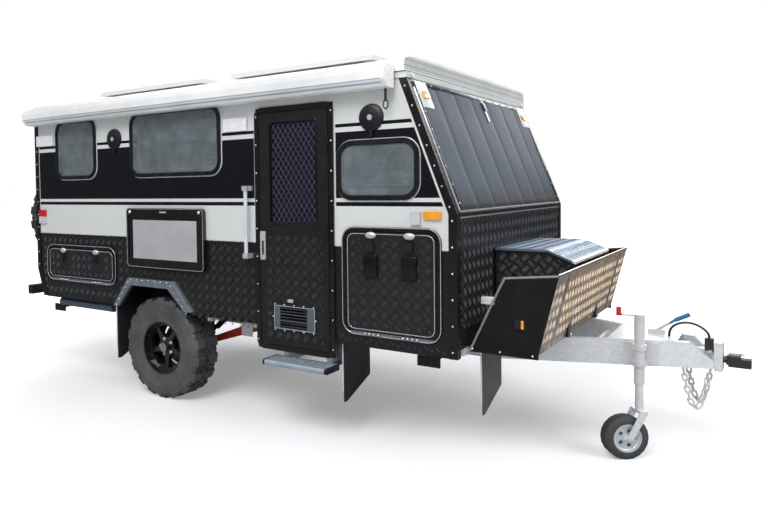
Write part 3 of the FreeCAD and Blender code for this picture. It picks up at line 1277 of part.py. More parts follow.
def flaps():
    """The rubber flaps; the steel bars that they hang from are returned."""
    pieces, bars = [], []
    for x, inner, outer, low in (
            (s.wheel_flap_x, wheel_flap_in, wheel_flap_out, s.wheel_flap_low),
            (step_flap_x, step_flap_in, step_flap_out, s.step_flap_low),
            (nose_flap_x, nose_flap_in, nose_flap_out, s.nose_flap_low)):
        right = plate("Flap", "x", x, x + s.flap_thick, [
            (-outer, rail_top), (-outer, low), (-outer + s.flap_foot, low),
            (-inner, low + s.flap_corner), (-inner, rail_top)])
        pieces += [right, mirror("FlapLeft", right)]
        back = (x - s.hanger_thick - s.seat, x - s.seat)
        down = block("FlapBar", back, (-outer, s.hanger_bar - outer), (low + s.hanger_up, rail_top))
        level = block("FlapRail", back, (-outer, -inner), (rail_top - s.hanger_bar, rail_top))
        bar = fuse("FlapHanger", down, level)
        bars += [bar, mirror("FlapHangerLeft", bar)]
    node("flaps", *pieces)
    return bars


# Corner stabilisers: each leg folds up under the floor and swings down about a line along x
STABILISER = {
    "front_leg_back": 215, "rear_leg_in": 175, "leg_pivot_clear": 72, "leg_pivot_up": 60, "leg_half": 26,
    "leg_deep": 36, "leg_end_in": 100, "leg_pin": 8, "cheek_gap": 6, "cheek_thick": 8, "cheek_over": 34,
    "foot_half": 72, "foot_long": 88, "foot_thick": 12,
}
s.add(STABILISER)
front_leg_x = s.body_front - s.front_leg_back
rear_leg_x = s.body_rear + s.rear_leg_in
leg_pivot_side = s.rail_outer + s.leg_pivot_clear
leg_far = s.half_width - s.leg_end_in
cheek_out = leg_pivot_side + s.cheek_over
leg_pivot_z = s.rail_bottom + s.leg_pivot_up


def stabilisers():
    brackets = []
    for end, x in (("front", front_leg_x), ("rear", rear_leg_x)):
        z = (leg_pivot_z - s.leg_deep / 2, leg_pivot_z + s.leg_deep / 2)
        tail = leg_pivot_side - s.leg_deep / 2
        beam = block("LegBeam", (x - s.leg_half, x + s.leg_half), (-leg_far, -tail), z)
        foot = block("LegFoot", (x - s.foot_half, x + s.foot_half), (-leg_far - s.foot_thick, -leg_far),
                     (leg_pivot_z - s.foot_long / 2, leg_pivot_z + s.leg_deep / 2))
        bore = rod("LegBore", s.leg_pin + s.seat, (x - s.leg_half - s.overrun, -leg_pivot_side, leg_pivot_z),
                   2 * (s.leg_half + s.overrun), "x")
        leg = cut("Leg", fuse("LegSolid", beam, foot), bore)
        node(f"stabiliser_{end}_right", leg)
        node(f"stabiliser_{end}_left", mirror("LegLeft", leg))
        near, far = s.leg_half + s.cheek_gap, s.leg_half + s.cheek_gap + s.cheek_thick
        cheeks = [block("Cheek", (x + a, x + b), (-cheek_out, -s.rail_outer), (z[0], rail_top))
                  for a, b in ((-far, -near), (near, far))]
        pin = rod("LegPin", s.leg_pin, (x - far, -leg_pivot_side, leg_pivot_z), 2 * far, "x")
        bracket = fuse("LegBracket", *cheeks, pin)
        brackets += [bracket, mirror("LegBracketLeft", bracket)]
    return brackets


# Tanks and hose tube under the floor
TANKS = {
    "tank_up": 16, "tank_gap": 18, "tank_room": 25, "hose_start_in": 252, "hose_end_back": 157,
    "saddle": 30,
}
s.add(TANKS)
hose_start = s.body_rear + s.hose_start_in
hose_end = s.arch_rear - s.hose_end_back
tank_low = s.rail_bottom + s.tank_up


def tanks():
    half = rail_inner - s.tank_gap
    boxes = []
    for before, after in ((1, 2), (3, 4)):
        x = (cross_start(before) + s.cross_wide + s.tank_room, cross_start(after) - s.tank_room)
        boxes.append(block("Tank", x, (-half, half), (tank_low, rail_top)))
    height = rail_top - s.hose_radius - s.gap
    tube = rod("HoseTube", s.hose_radius, (hose_start, -hose_side, height), hose_end - hose_start, "x")
    saddles = [block("Saddle", (x, x + s.saddle), (-hose_side - s.saddle / 2, -hose_side + s.saddle / 2),
                     (height, rail_top)) for x in (hose_start + 3 * s.saddle, hose_end - 4 * s.saddle)]
    node("water_tanks", *boxes, fuse("HoseCarrier", tube, *saddles))


# Jockey wheel: clamp and outer tube on the right drawbar rail, a leg that screws down, a swivelling fork
JOCKEY = {
    "jockey_back": 359, "jockey_out": 62.45, "tube_radius": 28, "tube_under": 95, "tube_over": 152,
    "cap_tall": 16, "leg_radius": 22, "leg_overlap": 155, "leg_low": 292, "crown_thick": 14,
    "fork_turn": 37, "fork_half": 52, "cheek_skin": 5, "fork_trail": 88, "fork_wide": 56,
    "small_radius": 130, "small_half": 42, "small_bead": 30, "small_shoulder": 24, "small_rim": 78,
    "small_bore": 8, "clamp_long": 190, "clamp_skin": 10, "clamp_tall": 130, "collar_tall": 34,
    "collar_skin": 9, "crank_reach": 112, "crank_radius": 7, "knob_radius": 14, "knob_tall": 52,
    "small_corners": 20, "small_holes": 5, "hole_out": 44, "hole_radius": 13, "hole_corners": 8,
}
s.add(JOCKEY)
jockey_x = tip_x - s.jockey_back
jockey_side = drawbar_y(jockey_x) + s.jockey_out
tube_low = s.rail_bottom - s.tube_under
tube_top = rail_top + s.tube_over
leg_top = tube_low + s.leg_overlap


def jockey():
    x, y = jockey_x, -jockey_side
    outer = rod("JockeyOuter", s.tube_radius, (x, y, tube_low), tube_top - tube_low, "z")
    bore = rod("JockeyBore", s.leg_radius + s.seat, (x, y, tube_low - s.overrun),
               tube_top - tube_low, "z")
    cap = rod("JockeyCap", s.tube_radius, (x, y, tube_top), s.cap_tall, "z")
    tube = cut("JockeyTube", outer, bore)
    crank = strut("Crank", s.crank_radius, (x, y, tube_top + s.cap_tall / 2),
                  (x - s.crank_reach, y, tube_top + s.cap_tall / 2))
    knob = rod("CrankKnob", s.knob_radius, (x - s.crank_reach, y, tube_top), s.knob_tall, "z")
    middle = (s.rail_bottom + rail_top) / 2
    pad = block("ClampPad", (-s.clamp_long / 2, s.clamp_long / 2), (-s.clamp_skin, -s.seat),
                (middle - s.clamp_tall / 2, middle + s.clamp_tall / 2))
    pad_at = placed("ClampPadAt", pad, x, -drawbar_y(x), 0, math.degrees(lean))
    collars = []
    for low in (middle - s.clamp_tall / 2, middle + s.clamp_tall / 2 - s.collar_tall):
        ring = rod("CollarOutside", s.tube_radius + s.collar_skin, (x, y, low), s.collar_tall, "z")
        arm = block("CollarArm", (x - s.tube_radius, x + s.tube_radius),
                    (y, -drawbar_y(x - s.tube_radius) - s.seat), (low, low + s.collar_tall))
        inside = rod("CollarInside", s.tube_radius, (x, y, low - s.overrun),
                     s.collar_tall + 2 * s.overrun, "z")
        collars.append(cut("Collar", fuse("CollarSolid", ring, arm), inside))
    node("jockey_tube", fuse("JockeyStand", tube, cap, crank, knob, pad_at, *collars))
    leg = rod("JockeyLeg", s.leg_radius, (x, y, s.leg_low), leg_top - s.leg_low, "z")
    node("jockey_leg", leg)
    crown_top = s.leg_low - s.seat
    crown_low = crown_top - s.crown_thick
    outline = [(s.leg_radius, crown_low), (s.leg_radius, crown_top), (-s.leg_radius, crown_top),
               (-s.fork_trail, s.small_radius + s.leg_radius),
               (-s.fork_trail - s.leg_radius, s.small_radius),
               (-s.fork_trail, s.small_radius - s.leg_radius),
               (s.small_bore - s.fork_trail + s.leg_radius, s.small_radius)]
    cheeks = [plate("ForkCheek", "y", low, low + s.cheek_skin, outline)
              for low in (-s.fork_half - s.cheek_skin, s.fork_half)]
    crown = block("ForkCrown", (-s.leg_radius, s.leg_radius), (-s.fork_half, s.fork_half),
                  (crown_low, crown_top))
    far = s.fork_half + s.cheek_skin
    axle = rod("ForkAxle", s.small_bore, (-s.fork_trail, -far, s.small_radius), 2 * far, "y")
    node("jockey_fork", placed("Fork", fuse("ForkSolid", crown, *cheeks, axle), x, y, 0, s.fork_turn))
    half, bead, out, n = s.small_half, s.small_bead, s.small_radius, s.small_corners
    small = faceted("SmallCarcass", n, (-half, out - s.small_shoulder), (-bead, out), (bead, out),
                    (half, out - s.small_shoulder))
    hole = faceted("SmallTyreBore", n, (-half - s.overrun, s.small_rim), (half + s.overrun, s.small_rim))
    tyre = cut("SmallTyre", small, hole)
    ring = corners(n, s.small_rim - s.seat)
    holes = [[(s.hole_out * math.cos(a) + u, s.hole_out * math.sin(a) + v)
              for u, v in corners(s.hole_corners, s.hole_radius)]
             for a in [2 * math.pi * i / int(s.small_holes) for i in range(int(s.small_holes))]]
    disc = cut("SmallRim", plate("SmallDisc", "y", -bead, bead, ring, *holes),
               rod("SmallBore", s.small_bore + s.seat, (0, -half, 0), 2 * half, "y"))
    angle = math.radians(float(s.fork_turn))
    wheel_x = x - s.fork_trail * math.cos(angle)
    wheel_y = y - s.fork_trail * math.sin(angle)
    wheel = group("SmallWheel", tyre, disc)
    node("jockey_wheel", placed("SmallWheelAt", wheel, wheel_x, wheel_y, s.small_radius, s.fork_turn))


# Coupling: mounting block on the nose, and the head that rolls about a line along x
COUPLING = {
    "block_long": 180, "block_half": 37, "block_tall": 100, "plate_thick": 42,
    "plate_half": 60, "plate_under": 65, "plate_over": 103, "neck_radius": 20, "neck_long": 26,
    "head_long": 112,
    "head_half": 36, "head_tall_half": 37, "tow_pin_radius": 12.75, "tow_pin_back": 45, "head_round": 12,
    "brake_back": 310, "brake_up": 36, "brake_half": 14, "brake_long": 90, "lever_radius": 8,
    "lever_run": 102, "lever_rise": 66, "grip_run": 76, "grip_rise": 42, "grip_radius": 13,
    "collar_radius": 32, "collar_long": 14, "nut_radius": 19, "nut_proud": 9, "nut_sides": 6,
    "yoke_radius": 20, "yoke_half": 27, "yoke_sides": 16,
}
s.add(COUPLING)
block_rear = tip_x - s.block_long
plate_end = tip_x + s.plate_thick
neck_end = plate_end + s.neck_long
coupling_reach = neck_end + s.head_long
tow_pin_x = coupling_reach - s.tow_pin_back
brake_x = tip_x - s.brake_back
brake_z = rail_top + s.brake_up
lever_mid_x = brake_x + s.lever_run
lever_end_x = lever_mid_x + s.grip_run
lever_mid_z = brake_z + s.lever_rise
lever_end_z = lever_mid_z + s.grip_rise
block_low = s.rail_bottom
block_top = block_low + s.block_tall
plate_low = s.coupling_height - s.plate_under
plate_top = s.coupling_height + s.plate_over
head_low = s.coupling_height - s.head_tall_half
head_top = s.coupling_height + s.head_tall_half


def coupling():
    rear = block("NoseBlock", (block_rear, tip_x), (-s.block_half, s.block_half), (block_low, block_top))
    front = block("NosePlateFront", (tip_x, plate_end), (-s.plate_half, s.plate_half),
                  (plate_low, plate_top))
    node("coupling_mount", fuse("CouplingMount", rear, front))
    neck = rod("Neck", s.neck_radius, (plate_end + s.seat, 0, s.coupling_height), neck_end - plate_end, "x")
    head = plate("Head", "x", neck_end, coupling_reach,
                 oblong((-s.head_half, s.head_half), (head_low, head_top)), rounds=[(0, s.head_round)])
    bore = rod("TowPinBore", s.tow_pin_radius, (tow_pin_x, 0, head_low - s.overrun),
               head_top - head_low + 2 * s.overrun, "z")
    collar = faceted("NeckCollar", s.yoke_sides, (plate_end + s.seat, s.collar_radius),
                     (plate_end + s.seat + s.collar_long, s.collar_radius), along="x")
    collar = placed("NeckCollarAt", collar, 0, 0, s.coupling_height)
    yoke = faceted("Yoke", s.yoke_sides, (-s.yoke_half, s.yoke_radius),
                   (s.yoke_half, s.yoke_radius), along="z")
    yoke = placed("YokeAt", yoke, neck_end, 0, s.coupling_height)
    nut = faceted("SideNut", s.nut_sides, (-s.head_half - s.nut_proud, s.nut_radius), (0, s.nut_radius))
    nut = placed("SideNutAt", nut, tow_pin_x, 0, s.coupling_height)
    solid = fuse("HeadSolid", neck, head, collar, yoke, nut)
    node("coupling_head", cut("CouplingHead", solid, bore))
    base = block("BrakeBase", (brake_x - s.brake_long / 2, brake_x + s.brake_long / 2),
                 (-s.brake_half, s.brake_half), (rail_top + s.top_plate_thick, brake_z))
    lever = strut("BrakeLever", s.lever_radius, (brake_x, 0, brake_z - s.lever_radius),
                  (lever_mid_x, 0, lever_mid_z))
    grip = strut("BrakeGrip", s.grip_radius, (lever_mid_x, 0, lever_mid_z), (lever_end_x, 0, lever_end_z))
    node("handbrake", fuse("Handbrake", base, lever, grip))


# Safety chains: flat-sided links on a sagging line from each drawbar rail to the nose
CHAIN = {
    "link_long": 56, "link_wide": 34, "link_bar": 10, "link_corner": 10, "link_grip": 1,
    "chain_start_back": 150, "chain_start_in": 38.64, "chain_end_back": 25, "chain_end_in": 32,
    "chain_sag": 215,
}
s.add(CHAIN)
chain_start_x = tip_x - s.chain_start_back
chain_start_side = drawbar_y(chain_start_x) - s.chain_start_in
chain_end_side = s.tip_half - s.chain_end_in
chain_end_x = tip_x - s.chain_end_back


def link():
    """One link lying flat with its long way along x."""
    half, wide, corner = s.link_long / 2, s.link_wide / 2, s.link_corner
    outer = [(-half, 0), (corner - half, -wide), (half - corner, -wide), (half, 0),
             (half - corner, wide), (corner - half, wide)]
    x, y = half - s.link_bar, wide - s.link_bar
    return plate("Link", "z", -s.link_bar / 2, s.link_bar / 2, outer, [(-x, -y), (x, -y), (x, y), (-x, y)])


def chain():
    hung = s.rail_bottom - s.link_long / 2 - s.link_grip - s.seat
    start = (chain_start_x, -chain_start_side, hung)
    end = (chain_end_x, -chain_end_side, hung)

    def spot(t):
        sag = 4 * t * (1 - t) * s.chain_sag
        return tuple(a + (b - a) * t - (sag if i == 2 else 0) for i, (a, b) in enumerate(zip(start, end)))

    def place(t):
        return Vector(*[float(v) for v in spot(t)])

    pitch = float(s.link_long - 2 * s.link_bar + s.link_grip)
    steps = 2000
    walk, places = 0.0, [0.0]
    for i in range(steps):
        walk += (place((i + 1) / steps) - place(i / steps)).Length
        if walk >= pitch:
            walk -= pitch
            places.append((i + 1) / steps)
    one, links = link(), []
    for i, t in enumerate(places):
        step = place(min(t + 1 / steps, 1)) - place(max(t - 1 / steps, 0))
        held = group("LinkAt", one)
        turn = Rotation(Vector(1, 0, 0), step)
        held.Placement.Rotation = turn.multiply(Rotation(Vector(1, 0, 0), 90 * (i % 2)))
        links.append(move(held, *spot(t)))
    right = fuse("SafetyChain", *links)
    node("safety_chains", right, mirror("SafetyChainLeft", right))


# Lead from the drawbar to the holder on the coupling block, held at both ends
LEAD_POINTS = (
    (3365, -40, 696.3), (3365, -40, 732), (3388, -41, 766), (3428, -43, 788), (3476, -46, 793),
    (3521, -48, 780), (3555, -49, 756), (3574, -50, 731), (3574, -50, 712),
)
lead_arc_share = 0.45
LEAD = {
    "lead_radius": 7, "plug_radius": 24, "plug_back": 26, "plug_side": 50, "plug_tall": 72,
    "lead_sides": 8,
}
s.add(LEAD)
plug_x = tip_x - s.plug_back
plug_low = block_top


def rounded_path(points):
    """Straight runs joined by tangent arcs, each as large as its two runs allow, and their radii."""
    edges, radii, start = [], [], points[0]
    for before, corner, after in zip(points, points[1:], points[2:]):
        back, on = before - corner, after - corner
        reach = lead_arc_share * min(back.Length, on.Length)
        back.normalize()
        on.normalize()
        half_turn = (math.pi - back.getAngle(on)) / 2
        radius = reach / math.tan(half_turn)
        middle = back + on
        middle.normalize()
        inner = corner + middle * (radius / math.cos(half_turn) - radius)
        edges.append(Part.LineSegment(start, corner + back * reach).toShape())
        edges.append(Part.Arc(corner + back * reach, inner, corner + on * reach).toShape())
        radii.append(round(radius))
        start = corner + on * reach
    edges.append(Part.LineSegment(start, points[-1]).toShape())
    return Part.Wire(edges), radii


def lead():
    path, radii = rounded_path([Vector(*point) for point in LEAD_POINTS])
    section = corners(s.lead_sides, s.lead_radius)
    ring = Part.makePolygon([Vector(*LEAD_POINTS[0]) + Vector(float(u), float(v), 0)
                             for u, v in section + section[:1]])
    tube = path.makePipeShell([ring], True, False)
    node("trailer_lead", made("Lead", tube))
    full = path.Length * Part.Face(ring).Area
    print(f"lead {path.Length:.0f} mm long, arcs {radii}, volume {tube.Volume / full:.4f} of its section's")
    body = rod("PlugBody", s.plug_radius, (plug_x, -s.plug_side, plug_low), s.plug_tall - s.seat, "z")
    node("lead_plug", body)


# Inside: boards over the front boot and rear locker, and a bench along the left wall
INSIDE = {
    "board_thick": 16, "boot_ahead": 29, "boot_board_up": 23, "locker_back": 37, "locker_board_up": 33,
    "bench_back": 530, "bench_long": 1140, "bench_deep": 540, "bench_tall": 650, "fit_gap": 1,
}
s.add(INSIDE)
boot_rear = door_front + s.boot_ahead
boot_board = front_hatch_top + s.boot_board_up
locker_front = s.arch_rear - s.locker_back
locker_board = rear_hatch_top + s.locker_board_up
bench_in = s.half_width - s.bench_deep
bench_start = s.well_front - s.bench_back
bench_low = s.well_top + s.well_skin


def inside():
    half, base = inner_y - s.fit_gap, rail_top + s.floor_thick
    front = s.body_front - s.wall - s.fit_gap
    boot = fuse(
        "Boot",
        block("BootWall", (boot_rear, boot_rear + s.board_thick), (-half, half), (base, boot_board)),
        block("BootBoard", (boot_rear, front), (-half, half), (boot_board, boot_board + s.board_thick)))
    knee = s.body_rear + s.wall + s.fit_gap
    locker = fuse(
        "Locker",
        block("LockerWall", (locker_front - s.board_thick, locker_front), (-half, half),
              (base, locker_board)),
        block("LockerBoard", (knee, locker_front), (-half, half),
              (locker_board, locker_board + s.board_thick)))
    bench = block("Bench", (bench_start, bench_start + s.bench_long), (bench_in, half),
                  (bench_low, bench_low + s.bench_tall))
    node("cabin_boards", boot, locker, bench)


# The frame: the spare wheels reach furthest back, the awning furthest right and the roof furthest left
rear_reach = s.body_rear - s.spare_standoff - s.tyre_width
frame_x = -(rear_reach + coupling_reach) / 2
frame_y = (awning_out - roof_half_width) / 2

node("cross_members", *chassis(), *drawbar_ties())
floor_and_wells()
walls()
windows()
entrance()
node("side_rims", *hatches(), table())
node("body_trims", *trims())
flares()
roof()
awning()
cover()
front_box()
road_wheels()
node("underbody_brackets", *suspension(), *step(), *stabilisers(), *flaps())
rear_and_lamps()
grab_handle()
tanks()
jockey()
coupling()
chain()
lead()
inside()

doc.recompute()
failed = [o.Name for o in doc.Objects if {"Invalid", "Error"} & set(o.State)]
if failed:
    raise RuntimeError(f"these failed to build: {failed}")
os.makedirs("parts", exist_ok=True)
for name, item in nodes.items():
    shape = item.Shape
    if shape.isNull() or not shape.isValid() or not shape.Solids:
        raise RuntimeError(f"{name} is not a valid solid")
    shape.exportStep(f"parts/{name}.step")
print(f"{len(nodes)} nodes, {sum(len(i.Shape.Solids) for i in nodes.values())} solids")
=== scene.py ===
"""The look of an off-road caravan with a lifting roof; metres, +X to the coupling, +Y to the left, +Z up."""
import math

import bpy
import numpy as np
from mathutils import Matrix, Vector


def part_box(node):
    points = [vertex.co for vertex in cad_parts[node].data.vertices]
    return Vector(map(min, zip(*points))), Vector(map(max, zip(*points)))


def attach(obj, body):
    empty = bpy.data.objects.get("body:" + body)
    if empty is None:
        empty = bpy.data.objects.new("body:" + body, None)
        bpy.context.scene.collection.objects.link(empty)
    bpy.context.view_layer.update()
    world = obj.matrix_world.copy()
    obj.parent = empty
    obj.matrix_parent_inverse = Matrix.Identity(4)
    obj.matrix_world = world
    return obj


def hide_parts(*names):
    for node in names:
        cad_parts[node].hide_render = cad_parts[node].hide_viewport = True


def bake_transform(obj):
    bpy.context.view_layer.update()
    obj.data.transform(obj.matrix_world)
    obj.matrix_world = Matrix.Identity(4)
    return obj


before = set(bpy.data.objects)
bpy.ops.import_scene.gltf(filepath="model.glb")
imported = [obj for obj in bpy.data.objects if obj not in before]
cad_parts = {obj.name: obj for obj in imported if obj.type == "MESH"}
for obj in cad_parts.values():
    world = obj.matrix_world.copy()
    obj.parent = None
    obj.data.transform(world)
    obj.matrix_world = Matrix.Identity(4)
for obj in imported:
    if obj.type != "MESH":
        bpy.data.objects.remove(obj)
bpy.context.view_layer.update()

# The camera stands ahead of the caravan on its door side at about eye height.
# It is the photograph's own camera, worked out from the body's edges.
EYE = (2.962, -4.754, 1.640)
YAW, PITCH, ROLL = math.radians(36.597), math.radians(-2.086), math.radians(-0.837)
PHOTO_WIDTH, FOCAL = 768, 689.77
SIGHT_LEFT, SIGHT_UP = 107.45, 43.38
camera_data = bpy.data.cameras.new("camera")
camera_data.lens = camera_data.sensor_width * FOCAL / PHOTO_WIDTH
camera_data.shift_x = SIGHT_LEFT / PHOTO_WIDTH
camera_data.shift_y = -SIGHT_UP / PHOTO_WIDTH
camera = bpy.data.objects.new("camera", camera_data)
bpy.context.collection.objects.link(camera)
tilt = Matrix.Rotation(math.pi / 2 + PITCH, 3, "X") @ Matrix.Rotation(ROLL, 3, "Z")
camera.location = EYE
camera.rotation_euler = (Matrix.Rotation(YAW, 3, "Z") @ tilt).to_euler()
bpy.context.scene.camera = camera
bpy.context.scene.view_settings.view_transform = "Standard"

# Lead to the towing vehicle: a black cable that rises from the drawbar's nose and bends over into its plug.
# It is a stiff cord held at both ends, so it stands in one arch.
LEAD_POINTS = (
    (2.385, 0.0285, 0.6963), (2.385, 0.0285, 0.732), (2.408, 0.0275, 0.766), (2.448, 0.0255, 0.788),
    (2.496, 0.0225, 0.793), (2.541, 0.0205, 0.780), (2.575, 0.0195, 0.756), (2.594, 0.0185, 0.731),
    (2.594, 0.0185, 0.712),
)
LEAD_THICK, LEAD_LONG = 0.014, 0.306
lead_curve = bpy.data.curves.new("lead_cable", "CURVE")
lead_curve.dimensions = "3D"
lead_curve.bevel_depth = 1.0
lead_curve.bevel_resolution = 4
lead_curve.use_fill_caps = True
route = lead_curve.splines.new("NURBS")
route.points.add(len(LEAD_POINTS) - 1)
for point, spot in zip(route.points, LEAD_POINTS):
    point.co = (*spot, 1)
    point.radius = LEAD_THICK / 2
route.order_u = 3
route.use_endpoint_u = True
route.resolution_u = 12
lead_cable = bpy.data.objects.new("lead_cable", lead_curve)
bpy.context.collection.objects.link(lead_cable)
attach(lead_cable, "trailer")
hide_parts("trailer_lead")

# Studio: a wide white floor that keeps the shadow, and a white surround for the camera, metal and glass.
# The lamps are large and soft, high on the door side, with weaker ones ahead, behind and on the left.
def join(value, socket):
    """Sets a socket to a plain value, or links a field or another node's output to it."""
    value = getattr(value, "socket", value)
    if isinstance(value, bpy.types.NodeSocket):
        socket.id_data.links.new(value, socket)
    else:
        socket.default_value = value


def part(tree, kind, settings=(), **sockets):
    """One shader node; a socket is given by its name, or by its number as in i0."""
    made = tree.nodes.new("ShaderNode" + kind)
    for label, value in dict(settings).items():
        setattr(made, label, value)
    for label, value in sockets.items():
        join(value, made.inputs[int(label[1:]) if label[1:].isdigit() else label.replace("_", " ")])
    return made


class Field:
    """A shader value; sums, products and comparisons of fields make the math nodes."""

    def __init__(self, socket):
        self.socket, self.tree = socket, socket.id_data

    def math(self, operation, other=0.0, third=0.0):
        return Field(part(self.tree, "Math", {"operation": operation}, i0=self, i1=other,
                          i2=third).outputs[0])

    def __add__(self, other):
        return self.math("ADD", other)

    def __sub__(self, other):
        return self.math("SUBTRACT", other)

    def __rsub__(self, other):
        return self.math("MULTIPLY_ADD", -1.0, other)

    def __mul__(self, other):
        return self.math("MULTIPLY", other)

    def __truediv__(self, other):
        return self.math("DIVIDE", other)

    def __lt__(self, other):
        return self.math("LESS_THAN", other)

    def __gt__(self, other):
        return self.math("GREATER_THAN", other)

    def __or__(self, other):
        return self.math("MAXIMUM", other)

    def __abs__(self):
        return self.math("ABSOLUTE")

    def within(self, low, high):
        return (self > low) * (self < high)

    def ranged(self, low=0.0, high=1.0, first=0.0, last=1.0, kind="LINEAR"):
        """The value mapped from one range to another and held at its ends."""
        return Field(part(self.tree, "MapRange", {"interpolation_type": kind}, Value=self, From_Min=low,
                          From_Max=high, To_Min=first, To_Max=last).outputs[0])

    def blend(self, low, high):
        """Two colours blended by this mask."""
        return Field(part(self.tree, "Mix", {"data_type": "RGBA"}, i0=self, i6=low, i7=high).outputs[2])

    def level(self, low, high):
        """Two plain values blended by this mask."""
        return Field(part(self.tree, "Mix", {"data_type": "FLOAT"}, i0=self, i2=low, i3=high).outputs[0])


def mixed(share, first, second):
    """Two shaders mixed by a field."""
    return part(share.tree, "MixShader", i0=share, i1=first, i2=second).outputs[0]


FLOOR_HALF, FLOOR_GLOW, FAR_GLOW, GLOW_FROM, GLOW_TO = 60, 0.24, 0.95, 2.0, 9.0
FLOOR_WHITE, FLOOR_MIRRORED = (0.80, 0.80, 0.81, 1), (0.20, 0.20, 0.21, 1)
WHITE, NO_LIGHT, SKY_WHITE = (1, 1, 1, 1), (0, 0, 0, 1), (0.93, 0.96, 1.0, 1)
SKY_LIGHT, MIRRORED_LOW, MIRRORED_HIGH, SKY_FROM, SKY_TO = 0.5, 0.09, 0.85, 0.05, 0.75
bpy.ops.object.select_all(action="DESELECT")
bpy.ops.mesh.primitive_plane_add(size=2 * FLOOR_HALF)
floor = bpy.context.object
floor.name = "studio_floor"
floor_paint = bpy.data.materials.new("floor_paint")
floor_paint.use_nodes = True
tree = floor_paint.node_tree
shader = tree.nodes["Principled BSDF"]
ray = part(tree, "LightPath").outputs
join(0.9, shader.inputs["Roughness"])
join(0.0, shader.inputs["Specular IOR Level"])
join(Field(ray["Is Glossy Ray"]).blend(FLOOR_WHITE, FLOOR_MIRRORED), shader.inputs["Base Color"])
away = part(tree, "VectorMath", {"operation": "LENGTH"}, i0=part(tree, "TexCoord").outputs["Object"])
brightness = Field(away.outputs["Value"]).ranged(GLOW_FROM, GLOW_TO, FLOOR_GLOW, FAR_GLOW, "SMOOTHSTEP")
glow = part(tree, "Emission", Color=WHITE, Strength=brightness).outputs[0]
seen_glow = mixed(Field(ray["Is Camera Ray"]), part(tree, "Emission", Color=NO_LIGHT).outputs[0], glow)
lit = part(tree, "AddShader", i0=shader.outputs[0], i1=seen_glow)
join(lit.outputs[0], tree.nodes["Material Output"].inputs["Surface"])
floor.data.materials.append(floor_paint)

world = bpy.data.worlds.new("studio")
bpy.context.scene.world = world
world.use_nodes = True
tree = world.node_tree
sky = tree.nodes["Background"]
ray = part(tree, "LightPath").outputs
axes = part(tree, "SeparateXYZ", Vector=part(tree, "TexCoord").outputs["Generated"]).outputs
mirrored = Field(axes["Z"]).ranged(SKY_FROM, SKY_TO, MIRRORED_LOW, MIRRORED_HIGH)
join(SKY_WHITE, sky.inputs["Color"])
join(Field(ray["Is Glossy Ray"]).level(SKY_LIGHT, mirrored), sky.inputs["Strength"])
white = part(tree, "Background", Color=WHITE, Strength=1.0).outputs[0]
seen = Field(ray["Is Camera Ray"]) | ray["Is Transmission Ray"]
join(mixed(seen, sky.outputs[0], white), tree.nodes["World Output"].inputs["Surface"])

LAMPS = {
    "key": ((1.5, -7.0, 7.5), 5.0, 560),
    "front": ((8.0, -1.0, 4.5), 4.0, 240),
    "back": ((-6.5, 4.0, 6.0), 5.0, 260),
    "left": ((1.0, 8.0, 5.0), 5.0, 240),
}
for name, (place, wide, power) in LAMPS.items():
    lamp_data = bpy.data.lights.new(name, "AREA")
    lamp_data.shape = "DISK"
    lamp_data.size = wide
    lamp_data.energy = power
    lamp = bpy.data.objects.new(name, lamp_data)
    bpy.context.collection.objects.link(lamp)
    lamp.location = place
    lamp.rotation_euler = (Vector((0, 0, 1)) - Vector(place)).to_track_quat("-Z", "Y").to_euler()

# Chassis and drawbar: box section steel, welded up and dipped in zinc, so it has a faint spangle and streaks.
# Bright nuts hold the coupling's mount, and the jockey wheel's tube and the brake lever have coloured grips.
class Place:
    """A piece's own coordinates: whole for textures, and a field along each axis."""

    def __init__(self, tree):
        self.tree = tree
        self.whole = part(tree, "TexCoord").outputs["Object"]
        self.x, self.y, self.z = [Field(axis) for axis in part(tree, "SeparateXYZ",
                                                               Vector=self.whole).outputs]

    def texture(self, kind, output=0, settings=(), **sockets):
        return Field(part(self.tree, "Tex" + kind, settings, Vector=self.whole, **sockets).outputs[output])


def effect(name, outputs, **inputs):
    """An effect as a node group with named inputs and outputs."""
    group = bpy.data.node_groups.new(name, "ShaderNodeTree")
    for label, value in inputs.items():
        kind = "Color" if isinstance(value, tuple) else "Float"
        socket = group.interface.new_socket(label, in_out="INPUT", socket_type=f"NodeSocket{kind}")
        socket.default_value = value
    for label, kind in outputs.items():
        group.interface.new_socket(label, in_out="OUTPUT", socket_type=f"NodeSocket{kind}")
    return group, group.nodes.new("NodeGroupInput").outputs, group.nodes.new("NodeGroupOutput").inputs


def shader_of(material):
    return material.node_tree.nodes["Principled BSDF"].inputs


def new_finish(name, colour, rough, metal=0.0, **more):
    """A material whose plain values sit on its own shader."""
    material = bpy.data.materials.new(name)
    material.use_nodes = True
    for label, value in {"Base Color": (*colour, 1), "Roughness": rough, "Metallic": metal, **more}.items():
        join(value, shader_of(material)[label.replace("_", " ")])
    return material


def use(material, group, outputs, **values):
    """Places an effect in a material and joins its named outputs to the shader."""
    made = material.node_tree.nodes.new("ShaderNodeGroup")
    made.node_tree = group
    for label, value in values.items():
        join(value, made.inputs[label])
    for output in outputs:
        join(made.outputs[output], shader_of(material)["Base Color" if output == "Color" else output])
    return made


def dress(material, *nodes):
    for name in nodes:
        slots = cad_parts[name].data.materials
        slots.clear()
        slots.append(material)


